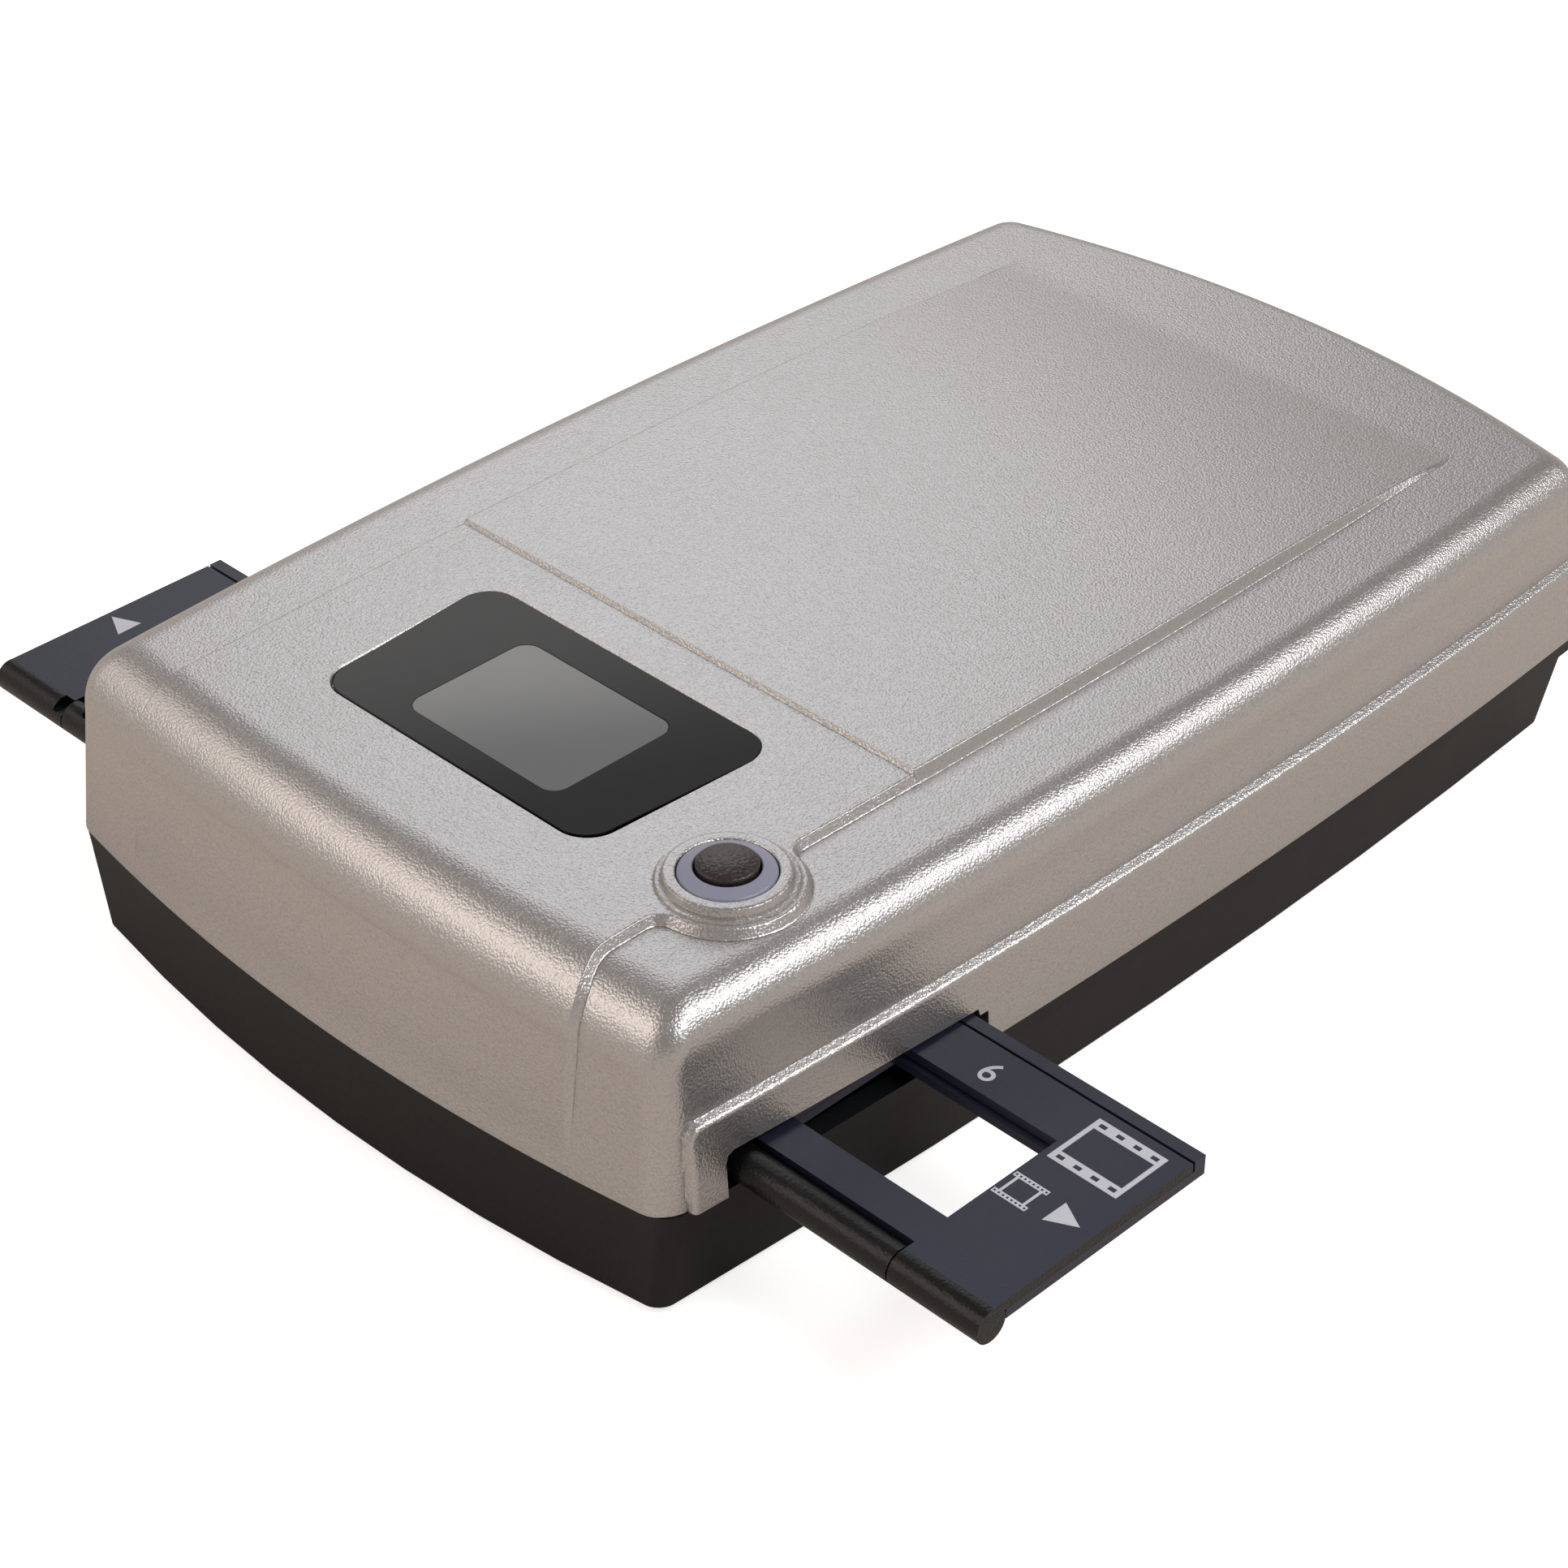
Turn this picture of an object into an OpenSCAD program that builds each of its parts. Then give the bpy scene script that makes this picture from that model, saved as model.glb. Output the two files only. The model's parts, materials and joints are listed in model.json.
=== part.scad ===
// Film strip scanner with a sliding film holder, in millimetres.
// Frame: +Z up from the table, front end towards -Y, the film holder slides along X.

/* [Housing] */
// Length of the housing over its bowed ends
body_l = 274; // [262:1:300]
// Width of the housing at its middle, without the side bands
body_w = 170.4; // [164:0.4:186]
// Height of the parting line between base and cover above the table
parting_z = 24.4; // [24.2:0.1:25]
// Height of the cover's shoulders above the table
shoulder_z = 62.9; // [60:0.1:70]
// Rise of the centre band above the shoulders
band_rise = 1.7; // [1:0.1:3]
// Rise of the rear panel above the front panel
panel_rise = 1; // [0.4:0.1:2]
// Width of the centre band at its middle
band_w = 120.4; // [112:0.4:130]
// Wall of the cover
cover_wall = 2.4; // [1.8:0.1:3]
// Wall of the base
base_wall = 2.9; // [1.8:0.1:3]
// How far the ends bow outwards at the parting line
end_bow = 7.2; // [3:0.2:10]
// How far the ends bow outwards at the top of the walls
top_end_bow = 10.4; // [5:0.2:13]
// How far the long sides bow outwards
side_bow = 4.5; // [1:0.1:6]
// How far the cover's long walls lean in from the parting line to the rim
side_lean = 1.8; // [0.5:0.1:3]
// How far the cover's end walls lean in from the parting line to the rim
end_lean = 1; // [0.5:0.1:3]
// Radius of the cover's top rim along the sides
rim_r = 8.5; // [6:0.5:11]
// Radius of the cover's top rim at the front
front_rim_r = 12; // [8:0.5:14]
// Radius of the cover's top rim at the rear
rear_rim_r = 5; // [4:0.5:11]
// Corner radius of the housing in plan
corner_r = 5; // [4:0.5:12]
// How far the side band stands out of the long walls
rib_out = 1.6; // [1:0.1:2.4]
// Height of the side band's top edge above the parting line
rib_h = 18; // [14:0.5:22]
// Height of the base's rim below the parting line
base_rim_h = 5.9; // [4:0.1:7]
// How far the base's hull leans in from its rim to the underside
base_lean = 2.9; // [1:0.1:5]
// Step in of the base's hull under its rim at the rear
rear_step = 3.5; // [1:0.1:5]

/* [Window and button] */
// Length of the dark top plate, along Y
plate_l = 43.6; // [38:0.2:50]
// Width of the dark top plate, along X
plate_w = 73.6; // [60:0.2:80]
// Middle of the dark top plate behind the front end
plate_y = 55.6; // [50:0.2:60]
// Thickness of the dark top plate
plate_t = 1.6; // [1.2:0.1:2]
// Width of the light window, along X
light_w = 39.8; // [30:0.2:44]
// Length of the light window, along Y
light_l = 29.6; // [22:0.2:31]
// Middle of the light window behind the front end
light_y = 54.4; // [52:0.2:57]
// Distance of the button in from the side
button_in = 26.8; // [24:0.2:31]
// Distance of the button behind the front end
button_y = 44.1; // [42:0.1:48]
// Radius of the button's cap
cap_r = 5.75; // [5:0.05:6]
// Travel of the button
button_travel = 0.8; // [0.4:0.1:1]
// Outer radius of the raised collar round the button
collar_r = 11.1; // [10.5:0.1:12]
// Height of the raised collar above the front panel
collar_h = 2.1; // [1:0.1:3]

/* [Film holder] */
// Length of the film holder
holder_l = 262.9; // [250:0.1:280]
// How far the middle of the holder stands to the right at rest
holder_out = 6.15; // [0:0.05:10]
// Distance of the hinge barrel's axis behind the front end
barrel_y = 24.6; // [24.2:0.1:25.4]
// Radius of the hinge barrel
barrel_r = 3.4; // [3:0.1:3.6]
// Distance of the holder's rear edge behind the front end
rail_y = 77.15; // [76.8:0.05:77.3]
// Height of the holder's top above the parting line
holder_top = 7.45; // [7.2:0.05:7.6]
// Thickness of the closed holder
holder_t = 4; // [3.6:0.1:4.2]
// Number of film frames
frames = 6; // [4:1:6]
// Pitch of the film frames
frame_pitch = 38; // [37.5:0.1:38.5]
// Length of a window in the lid, along the film
window_l = 36; // [34:0.5:37]
// Width of a window in the lid, across the film
window_w = 26.8; // [25:0.1:28]
// Width of a window in the lower half, across the film
gate_w = 24.4; // [24:0.1:25]
// Right-hand frame's middle from the holder's right end
first_frame = 37.9; // [34:0.1:40]
// Length of the lid's hinge knuckle at the right end
knuckle_right = 19.7; // [15:0.1:26]
// Length of the lid's hinge knuckle at the left end
knuckle_left = 20.9; // [18:0.1:30]
// Width of the rail along the rear edge
rail_w = 2.7; // [2:0.1:3.5]

/* [Scan unit] */
// Travel of the scan carriage to each side
scan_travel = 13; // [12:0.5:13.5]
// Radius of the guide rods
rod_r = 2; // [1.5:0.1:2.2]
// Distance of the guide rods from the middle plane
rod_x = 31; // [30.5:0.5:32]
// Radius of the lead screw
screw_r = 2.5; // [2:0.1:2.8]
// Distance of the lead screw from the middle plane
screw_x = 44; // [43:0.5:45]
// Width of the optical bench, along X
bench_w = 50; // [44:1:50]
// Radius of the lens barrel
lens_r = 4.6; // [4:0.1:4.8]
// Tooth module of the drive gears
gear_module = 0.5; // [0.4:0.02:0.5]
// Teeth of the lead screw's gear
gear_teeth = 44; // [40:2:46]
// Teeth of the motor's pinion
pinion_teeth = 10; // [9:1:11]
// Radius of the motor's can
motor_r = 7; // [6:0.25:7.25]
// Length of the motor's can
motor_l = 22; // [16:1:26]

/* [Feet and fasteners] */
// Height that the rubber feet stand out of the underside
foot_h = 1; // [0.8:0.1:2]
// Radius of the rubber feet
foot_r = 7; // [5:0.5:8]
// Radius of the case screws
case_screw_r = 1.5; // [1.25:0.05:1.75]
// Radius of the small screws on the chassis and boards
small_screw_r = 1.2; // [1:0.05:1.4]

/* [Hidden] */

$fn = 48;
eps = 0.01;
fit = 0.05;          // running fit of round parts, on the radius
seat = 0.15;         // gap round a piece that drops into a pocket

// Housing levels and outlines
front_y = -body_l / 2;
half_w = body_w / 2;
button_x = half_w - button_in;
under_z = foot_h;
floor_z = under_z + base_wall;
fold_z = parting_z - base_rim_h;
rim_z = shoulder_z - front_rim_r;
front_top = shoulder_z + band_rise;
rear_top = front_top + panel_rise;
ceiling_z = shoulder_z - cover_wall;
step_y = front_y + 88.5;
end_draw = 1;        // how far the band's front face stands out under the rim
rib_front = front_y + 11;
rib_edge_r = 1.5;
lip_h = 1.8;
lip_t = 1.2;
lip_gap = 0.2;

// Slot for the film holder
slot_front = front_y + 19.6;
slot_rear = front_y + 80.6;
slot_top_front = parting_z + 9.2;
slot_top_rear = parting_z + 8.2;

// Film holder
holder_z = parting_z + holder_top;
holder_low = holder_z - holder_t;
lid_t = holder_t / 2 - 0.1;
leaf_gap = 0.05;
holder_x0 = -holder_l / 2;
holder_x1 = holder_l / 2;
axis_y = front_y + barrel_y;
axis_z = holder_z - barrel_r + 0.05;
rail_back = front_y + rail_y;
lid_back = rail_back - rail_w - 0.5;
leaf_drop = holder_z - lid_t - axis_z;
lid_front = axis_y + sqrt(barrel_r * barrel_r - leaf_drop * leaf_drop) + leaf_gap;
base_front = axis_y + barrel_r + 0.1;
frame_y = front_y + 49.1;
pin_r = 0.8;
knuckle_gap = 0.3;

// Light path and film gate
gate_y0 = frame_y - gate_w / 2 - 1.2;
gate_y1 = frame_y + gate_w / 2 + 1.2;
gate_x = 21;
bed_z = holder_low - 0.25;
bed_t = 1.8;
track_x = half_w - 9.2;
track_front = front_y + 18.4;
track_back = rail_back + 2.65;
channel_z = axis_z - barrel_r - 0.4;
channel_t = 1.5;
upper_z = holder_z + 0.45;
upper_t = 1.7;
post_x = track_x - 18;

// Places that follow the rear end
bay_y = -front_y - 10.6;
board_y1 = bay_y - 3.8;
board_y0 = board_y1 - 34.6;
chassis_y1 = board_y0 - 14;

// Scan unit
chassis_t = 1.2;
chassis_z = floor_z + 0.4;
chassis_top = chassis_z + chassis_t;
chassis_x = 67;
chassis_y0 = track_back + 0.7;
rod_z = chassis_top + 3.6;
bench_z = rod_z + 2.8;
bench_t = 1.6;
bench_y0 = frame_y - 10.1;
bench_y1 = chassis_y1 - 2;
path_z = bench_z + bench_t + lens_r + 0.4;
wall_top = path_z + 3.9;
screw_z = chassis_top + 11.4;
screw_y0 = chassis_y1 - 56;
nut_y = chassis_y1 - 28;
gear_r = gear_module * gear_teeth / 2;
pinion_pitch_r = gear_module * pinion_teeth / 2;
pinion_x = -screw_x - gear_r - pinion_pitch_r - 0.1;
gear_y = chassis_y1 + 1.4;
gear_w = 3.5;

// Boards and sockets at the rear
board_x = 56;
board_z = floor_z + 0.5;
board_t = 1.6;
bay_x = 46;
bay_z0 = floor_z + 1.1;
bay_z1 = fold_z - 1.2;
socket_z = board_z + board_t;
usb_x = -18;
jack_x = 2;
rocker_x = 26;
rocker_z = (bay_z0 + bay_z1) / 2;
rocker_tilt = 7;

case_screws_at = [[40, front_y + 13.4], [62, -front_y - 22]];
foot_x = 62;
foot_y = -front_y - 33;

// ---------------------------------------------------------------------------
// Shapes shared by several pieces
// ---------------------------------------------------------------------------

// Closed plan outline with bowed sides and ends and rounded corners, at height z.
// hx, front, rear: half width and the two half lengths at the middle; bx, by: bow.
function outline(hx, front, rear, bx, by, r, z) =
    let (cx = hx - bx, cf = front - by, cr = rear - by, n = 8, m = 6, w = 0.7071,
        side_f = function (y) hx - bx * pow(y / (y < 0 ? cf : cr), 2),
        rear_f = function (x) rear - by * pow(x / cx, 2),
        front_f = function (x) -front + by * pow(x / cx, 2),
        ry0 = -cf + r, ry1 = cr - r, ex = cx - r,
        corner = function (a, c, b) [for (i = [1:m - 1]) let (t = i / m,
            k = pow(1 - t, 2) + 2 * w * t * (1 - t) + t * t)
            (pow(1 - t, 2) * a + 2 * w * t * (1 - t) * c + t * t * b) / k],
        right = [for (i = [0:n]) let (y = ry0 + (ry1 - ry0) * i / n) [side_f(y), y]],
        back = [for (i = [0:n]) let (x = ex - 2 * ex * i / n) [x, rear_f(x)]],
        left = [for (i = [0:n]) let (y = ry1 + (ry0 - ry1) * i / n) [-side_f(y), y]],
        fore = [for (i = [0:n]) let (x = -ex + 2 * ex * i / n) [x, front_f(x)]],
        loop = concat(right, corner(right[n], [cx, cr], back[0]),
            back, corner(back[n], [-cx, cr], left[0]),
            left, corner(left[n], [-cx, -cf], fore[0]),
            fore, corner(fore[n], [cx, -cf], right[0])))
    [for (p = loop) [p[0], p[1], z]];

// Solid skinned over a stack of outlines with equal point counts, lowest first
module loft(rings) {
    n = len(rings[0]);
    k = len(rings);
    polyhedron(
        points = [for (ring = rings, p = ring) p],
        faces = concat(
            [[for (i = [0:n - 1]) i]],
            [for (j = [0:k - 2], i = [0:n - 1]) [j * n + i, (j + 1) * n + i,
                (j + 1) * n + (i + 1) % n, j * n + (i + 1) % n]],
            [[for (i = [n - 1:-1:0]) (k - 1) * n + i]]),
        convexity = 6);
}

// Outline of the cover's wall, pulled in by inset; share runs from 0 at the parting line
// to 1 under the rim, and out moves the front end forwards
function wall_ring(share, inset, z, out = 0, r = corner_r) = outline(
    half_w - side_lean * share - inset,
    -front_y - end_lean * share - inset + out,
    -front_y - end_lean * share - inset,
    side_bow, end_bow + (top_end_bow - end_bow) * share, max(r - inset * 0.6, 3), z);

// How far a rim of radius r under the level top has turned in at height z
function rim_in(z, top, r) = z <= top - r ? 0 : r - sqrt(max(0, r * r - pow(z - top + r, 2)));

// Stack of outlines from z0 over the rim to top; inset shrinks the whole stack and less its radii
function cover_stack(z0, top, inset, less, lead = 0) =
    let (rim = front_rim_r - less) concat(
        [for (s = [0:1]) let (z = z0 + (top - rim - z0) * s,
            share = (z - parting_z) / (rim_z - parting_z))
            wall_ring(share, inset, z, lead * s - eps * (1 - s) * (lead > 0 ? 5 : 0))],
        [for (a = [12, 26, 40, 53, 66, 78, 90]) let (z = top - rim + rim * sin(a),
            side = rim_in(z, top, rim_r - less))
            outline(half_w - side_lean - inset - side,
                -front_y - end_lean - inset - rim_in(z, top, rim) + lead,
                -front_y - end_lean - inset - rim_in(z, top, rear_rim_r - less),
                side_bow, top_end_bow, max(corner_r - (inset + side) * 0.6, 2), z)]);

// Plan of the raised centre band with the round lobe that carries the button
module band_plan(rear) {
    bow = 2.8;
    steps = 10;
    reach = -front_y;
    half = function (y) band_w / 2 - bow * pow(y / reach, 2);
    ys = [for (i = [0:steps]) front_y - 2 + (rear - front_y + 2) * i / steps];
    offset(r = -3.5) offset(r = 3.5) union() {
        polygon(concat([for (y = ys) [half(y), y]],
            [for (i = [steps:-1:0]) [-half(ys[i]), ys[i]]]));
        translate([button_x, front_y + button_y]) circle(r = collar_r + 3.9);
    }
}

module rounded_plan(w, l, r) {
    translate([-w / 2 + r, -l / 2]) square([w - 2 * r, l]);
    translate([-w / 2, -l / 2 + r]) square([w, l - 2 * r]);
    for (x = [-1, 1], y = [-1, 1]) translate([x * (w / 2 - r), y * (l / 2 - r)]) circle(r = r);
}

// Everything but the film holder stands this far to the left of the frame's origin
module housed() {
    translate([-holder_out, 0, 0]) children();
}

// Round bar along Y
module bar_y(r, y0, y1, x, z) {
    translate([x, y0, z]) rotate([-90, 0, 0]) cylinder(r = r, h = y1 - y0);
}

module box(x0, x1, y0, y1, z0, z1) {
    translate([x0, y0, z0]) cube([x1 - x0, y1 - y0, z1 - z0]);
}

module tube(r_out, r_in, z0, z1) {
    difference() {
        translate([0, 0, z0]) cylinder(r = r_out, h = z1 - z0);
        translate([0, 0, z0 - 1]) cylinder(r = r_in, h = z1 - z0 + 2);
    }
}

// Round bar along X
module bar_x(r, x0, x1, y, z) {
    translate([x0, y, z]) rotate([0, 90, 0]) cylinder(r = r, h = x1 - x0);
}

module pan_screw(r, head_r, head_h, length) {
    translate([0, 0, -eps]) cylinder(r = r, h = length + eps);
    translate([0, 0, -head_h]) cylinder(r = head_r, h = head_h);
}

// Places of the repeated fasteners
module at_case_screws() {
    for (side = [-1, 1], at = case_screws_at) translate([side * at[0], at[1], 0]) children();
}

module at_chassis_screws() {
    for (x = [-1, 1], y = [chassis_y0 + 10, chassis_y1 - 36])
        translate([x * (chassis_x - 6), y, 0]) children();
}

module at_board_screws() {
    for (x = [-1, 1]) translate([x * (board_x - 5), board_y0 + 8, 0]) children();
}

module at_track_screws() {
    for (x = [-1, 1]) translate([x * (track_x - 10), track_back - 1.6, 0]) children();
}

// ---------------------------------------------------------------------------
// Casing
// ---------------------------------------------------------------------------

column_r = 4.4;
head_pocket_r = 3.2;
head_pocket_z = under_z + 6;
cover_screw_bite = 12;

// Outline of the base's hull: share runs from 0 at the underside to 1 at the fold
function hull_ring(share, inset, z, step) = outline(
    half_w - 0.6 - base_lean * (1 - share) - inset, -front_y - 1.2 - 0.5 * (1 - share) - inset,
    -front_y - 1.2 - 1.8 * (1 - share) - inset - step,
    side_bow, end_bow, corner_r - 2, z);

module base_shell() {
    edge = 1;
    color([0.16, 0.16, 0.155]) housed() {
        difference() {
            union() {
                difference() {
                    loft([hull_ring(0, edge, under_z, rear_step),
                        hull_ring(0.03, edge * 0.3, under_z + edge * 0.3, rear_step),
                        hull_ring(0.1, 0, under_z + edge, rear_step),
                        hull_ring(1, 0, fold_z, rear_step),
                        hull_ring(1, 0, fold_z + 0.3, 0),
                        hull_ring(1.2, -0.2, parting_z, 0)]);
                    loft([hull_ring(0.1, base_wall, floor_z, rear_step),
                        hull_ring(1, base_wall, parting_z + 1, rear_step)]);
                }
                closing_lip();
                box(-bay_x - 2, bay_x + 2, bay_y - base_wall, bay_y + 1, under_z + 0.6, bay_z1 + 1.2);
                at_case_screws() translate([0, 0, floor_z - eps])
                    cylinder(r = column_r, h = parting_z - 0.2 - floor_z);
                at_chassis_screws() translate([0, 0, floor_z - eps])
                    cylinder(r = 3, h = chassis_z - floor_z + eps);
                at_board_screws() translate([0, 0, floor_z - eps])
                    cylinder(r = 3, h = board_z - floor_z + eps);
            }
            at_case_screws() {
                translate([0, 0, under_z - 1]) cylinder(r = head_pocket_r, h = head_pocket_z - under_z + 1);
                translate([0, 0, under_z]) cylinder(r = case_screw_r + 0.2, h = parting_z);
            }
            for (x = [-1, 1], y = [-1, 1]) translate([x * foot_x, y * foot_y, under_z - 1])
                cylinder(r = foot_r + seat, h = 1.8);
            at_chassis_screws() translate([0, 0, under_z + 0.8])
                cylinder(r = small_screw_r + fit, h = chassis_z);
            at_board_screws() translate([0, 0, under_z + 0.8])
                cylinder(r = small_screw_r + fit, h = board_z);
            box(-bay_x, bay_x, bay_y, bay_y + 20, bay_z0, bay_z1);
            box(usb_x - 6.3, usb_x + 6.3, bay_y - 6, bay_y + 6, socket_z - seat, socket_z + 11.1);
            box(jack_x - 4.8, jack_x + 4.8, bay_y - 6, bay_y + 6, socket_z - seat, socket_z + 11.1);
            box(rocker_x - 6.9, rocker_x + 6.9, bay_y - 6, bay_y + 6, rocker_z - 4.4, rocker_z + 4.4);
            vents();
        }
    }
}

// Lip that stands inside the cover's wall, open where the film holder passes
module closing_lip() {
    difference() {
        loft([for (z = [parting_z - 3, parting_z + lip_h])
            wall_ring(0, cover_wall + lip_gap, z)]);
        loft([for (z = [parting_z - 4, parting_z + lip_h + 1])
            wall_ring(0, cover_wall + lip_gap + lip_t, z)]);
        box(-half_w, half_w, slot_front - 1, slot_rear + 1, parting_z - eps, parting_z + 9);
    }
}

// Cooling slots through the floor, under the boards
module vents() {
    for (x = [-36:9:36], side = [-1, 1])
        translate([x, side < 0 ? front_y + 60 : -front_y - 90, under_z - 1])
            linear_extrude(base_wall + 2) rounded_plan(3, 18, 1.45);
}

module top_cover() {
    color([0.70, 0.66, 0.62]) housed() difference() {
        union() {
            difference() {
                union() {
                    loft(cover_stack(parting_z, shoulder_z, 0, 0));
                    side_band();
                    centre_band(front_top, front_y - 2, step_y);
                    centre_band(rear_top, step_y - eps, -front_y - 22);
                }
                loft(cover_stack(parting_z - 1, ceiling_z, cover_wall, 2));
                side_band_hollow();
            }
            translate([button_x, front_y + button_y, ceiling_z - 1]) {
                cylinder(r = collar_r + 0.9, h = front_top + 0.6 - ceiling_z);
                cylinder(r1 = collar_r + 1.2, r2 = collar_r, h = front_top + collar_h - ceiling_z + 1);
                for (x = [-1, 1]) translate([x * button_post_x, 0, board_level + board_t - ceiling_z + 1])
                    cylinder(r = 2.2, h = ceiling_z - board_level - board_t);
            }
            intersection() {
                at_case_screws() translate([0, 0, parting_z]) cylinder(r = column_r, h = 40);
                loft(cover_stack(parting_z - 1, shoulder_z - 1, 1, 1));
            }
        }
        for (x = [-1, 1]) scale([x, 1, 1]) slot_cut();
        plate_recess();
        translate([button_x, front_y + button_y, 0]) {
            translate([0, 0, ceiling_z - 2]) cylinder(r = 8.8, h = 20);
            for (x = [-1, 1]) translate([x * button_post_x, 0, board_level]) cylinder(r = small_screw_r + fit, h = 8);
        }
        at_case_screws() translate([0, 0, parting_z - 1])
            cylinder(r = case_screw_r + fit, h = cover_screw_bite + 1);
    }
}

// The front or the rear panel of the centre band, cut from a slightly larger stack.
// Behind fade_y its top falls in one long curve to the shoulders.
module centre_band(top, y0, y1) {
    fade_y = 40;
    drop_l = y1 - fade_y;
    fall = top - shoulder_z + 0.3;
    fade_r = (drop_l * drop_l + fall * fall) / (2 * fall);
    intersection() {
        loft(cover_stack(parting_z + 6, top, 0, -0.5, end_draw));
        translate([0, 0, parting_z + 4]) linear_extrude(top) band_plan(y1);
        union() {
            box(-half_w, half_w, y0, min(y1, fade_y), parting_z, top + 5);
            if (y1 > fade_y) intersection() {
                box(-half_w, half_w, fade_y - eps, y1, parting_z, top + 5);
                translate([-half_w, fade_y, top - fade_r]) rotate([0, 90, 0])
                    cylinder(r = fade_r, h = body_w, $fn = 360);
            }
        }
    }
}

function rib_ring(out, z) = outline(half_w + out, -front_y + out, -front_y + out,
    side_bow, end_bow, corner_r, z);

// Low band that stands out of the long walls and the rear end
module side_band() {
    top = parting_z + rib_h;
    lean = side_lean * rib_h / (rim_z - parting_z);
    difference() {
        loft([rib_ring(rib_out, parting_z), rib_ring(rib_out - lean * 0.8, top - rib_edge_r),
            rib_ring(rib_out - lean * 0.8 - 0.3, top - rib_edge_r * 0.4),
            rib_ring(-lean - 0.3, top)]);
        box(-body_w, body_w, front_y - 20, rib_front, 0, 100);
        box(-body_w, 0, front_y - 20, rib_front + 5, 0, 100);
    }
}

module side_band_hollow() {
    difference() {
        loft([for (z = [parting_z - 1, parting_z + 2]) wall_ring(0, cover_wall, z)]);
        box(-body_w, body_w, slot_front, slot_rear, 0, 100);
    }
}

// Notch in the cover's right-hand wall for the film holder
module slot_cut() {
    translate([half_w - 14, 0, 0]) rotate([90, 0, 90]) linear_extrude(30)
        polygon([[slot_front, parting_z - 2], [slot_rear, parting_z - 2],
            [slot_rear, slot_top_rear - 1.5], [slot_rear - 2, slot_top_rear - 1.5],
            [slot_rear - 2.4, slot_top_rear], [slot_front + 2, slot_top_front],
            [slot_front + 0.6, slot_top_front - 0.6], [slot_front, slot_top_front - 2]]);
}

module plate_plan(grow) {
    taper = 2.4;
    r = 6.5 + grow;
    w = plate_w / 2 + grow - r;
    l = plate_l / 2 + grow - r;
    translate([-1.3, front_y + plate_y]) hull() {
        for (x = [-1, 1]) {
            translate([x * (w - taper / 2), -l]) circle(r = r);
            translate([x * (w + taper / 2), l]) circle(r = r);
        }
    }
}

module plate_recess() {
    translate([0, 0, front_top - plate_t]) linear_extrude(plate_t + 5) plate_plan(seat);
    translate([0, front_y + light_y, ceiling_z - 5]) linear_extrude(20)
        rounded_plan(light_w + 3, light_l + 3, 5);
}

module window_plate() {
    color([0.13, 0.13, 0.135]) housed() translate([0, 0, front_top - plate_t]) difference() {
        linear_extrude(plate_t) plate_plan(0);
        translate([0, front_y + light_y, -1]) linear_extrude(plate_t + 2)
            rounded_plan(light_w, light_l, 3.6);
    }
}

module light_window() {
    color([0.48, 0.48, 0.48]) housed() translate([0, front_y + light_y, 0]) {
        translate([0, 0, front_top - plate_t - eps]) linear_extrude(plate_t - 0.04)
            rounded_plan(light_w - 2 * fit, light_l - 2 * fit, 3.5);
        translate([0, 0, front_top - plate_t - 1.2]) linear_extrude(1.2)
            rounded_plan(light_w + 2.4, light_l + 2.4, 4.6);
    }
}

module rubber_feet() {
    color([0.1, 0.1, 0.1]) housed() for (x = [-1, 1], y = [-1, 1])
        translate([x * foot_x, y * foot_y, 0]) {
            translate([0, 0, 0.4]) cylinder(r = foot_r, h = under_z + 0.8 - 0.4);
            cylinder(r1 = foot_r - 0.4, r2 = foot_r, h = 0.4 + eps);
        }
}

module case_screws() {
    color([0.6, 0.6, 0.6]) housed() at_case_screws() translate([0, 0, head_pocket_z])
        pan_screw(case_screw_r, 2.8, 2, parting_z + cover_screw_bite - 1.5 - head_pocket_z);
}

// ---------------------------------------------------------------------------
// Button
// ---------------------------------------------------------------------------

ring_in = cap_r + 0.35;
ring_top = front_top + collar_h + 0.2;
cap_top = ring_top + 2.1;
board_level = 50;
button_post_x = 12.4;
switch_top = board_level + 5.1;

module button_light_ring() {
    color([0.54, 0.56, 0.64]) housed() translate([button_x, front_y + button_y, 0]) rotate_extrude()
        polygon([[ring_in, ceiling_z - 1.3], [9.9, ceiling_z - 1.3], [9.9, ceiling_z - 1.02],
            [8.65, ceiling_z - 1.02], [8.65, ring_top - 0.5], [8.3, ring_top - 0.1],
            [7.4, ring_top], [7.2, ring_top - 0.25], [ring_in, ring_top - 0.35]]);
}

module scan_button() {
    color([0.2, 0.18, 0.18]) housed() translate([button_x, front_y + button_y, 0]) rotate_extrude()
        polygon([[0, switch_top + button_travel + fit], [2.6, switch_top + button_travel + fit],
            [2.6, ceiling_z], [cap_r, ceiling_z], [cap_r, cap_top - 1.5],
            [cap_r - 0.25, cap_top - 1], [cap_r - 1, cap_top - 0.6], [cap_r / 2, cap_top - 0.15],
            [0, cap_top]]);
}

module button_board() {
    color([0.1, 0.35, 0.2]) housed() translate([button_x, front_y + button_y, 0]) difference() {
        box(-button_post_x - 3, button_post_x + 3, -6, 6, board_level, board_level + board_t);
        for (x = [-1, 1]) translate([x * button_post_x, 0, board_level - 1])
            cylinder(r = small_screw_r + 0.2, h = 4);
    }
}

module button_switch() {
    color([0.15, 0.15, 0.15]) housed() translate([button_x, front_y + button_y, 0]) {
        box(-3, 3, -3, 3, board_level + board_t, switch_top - 0.9);
        translate([0, 0, board_level + board_t + 1]) cylinder(r = 1.7, h = switch_top - board_level - board_t - 1);
    }
}

// ---------------------------------------------------------------------------
// Film tracks and lamp
// ---------------------------------------------------------------------------

front_guide_z = channel_z + 5.4;
rear_guide_z = bed_z + 3.4;

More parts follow.
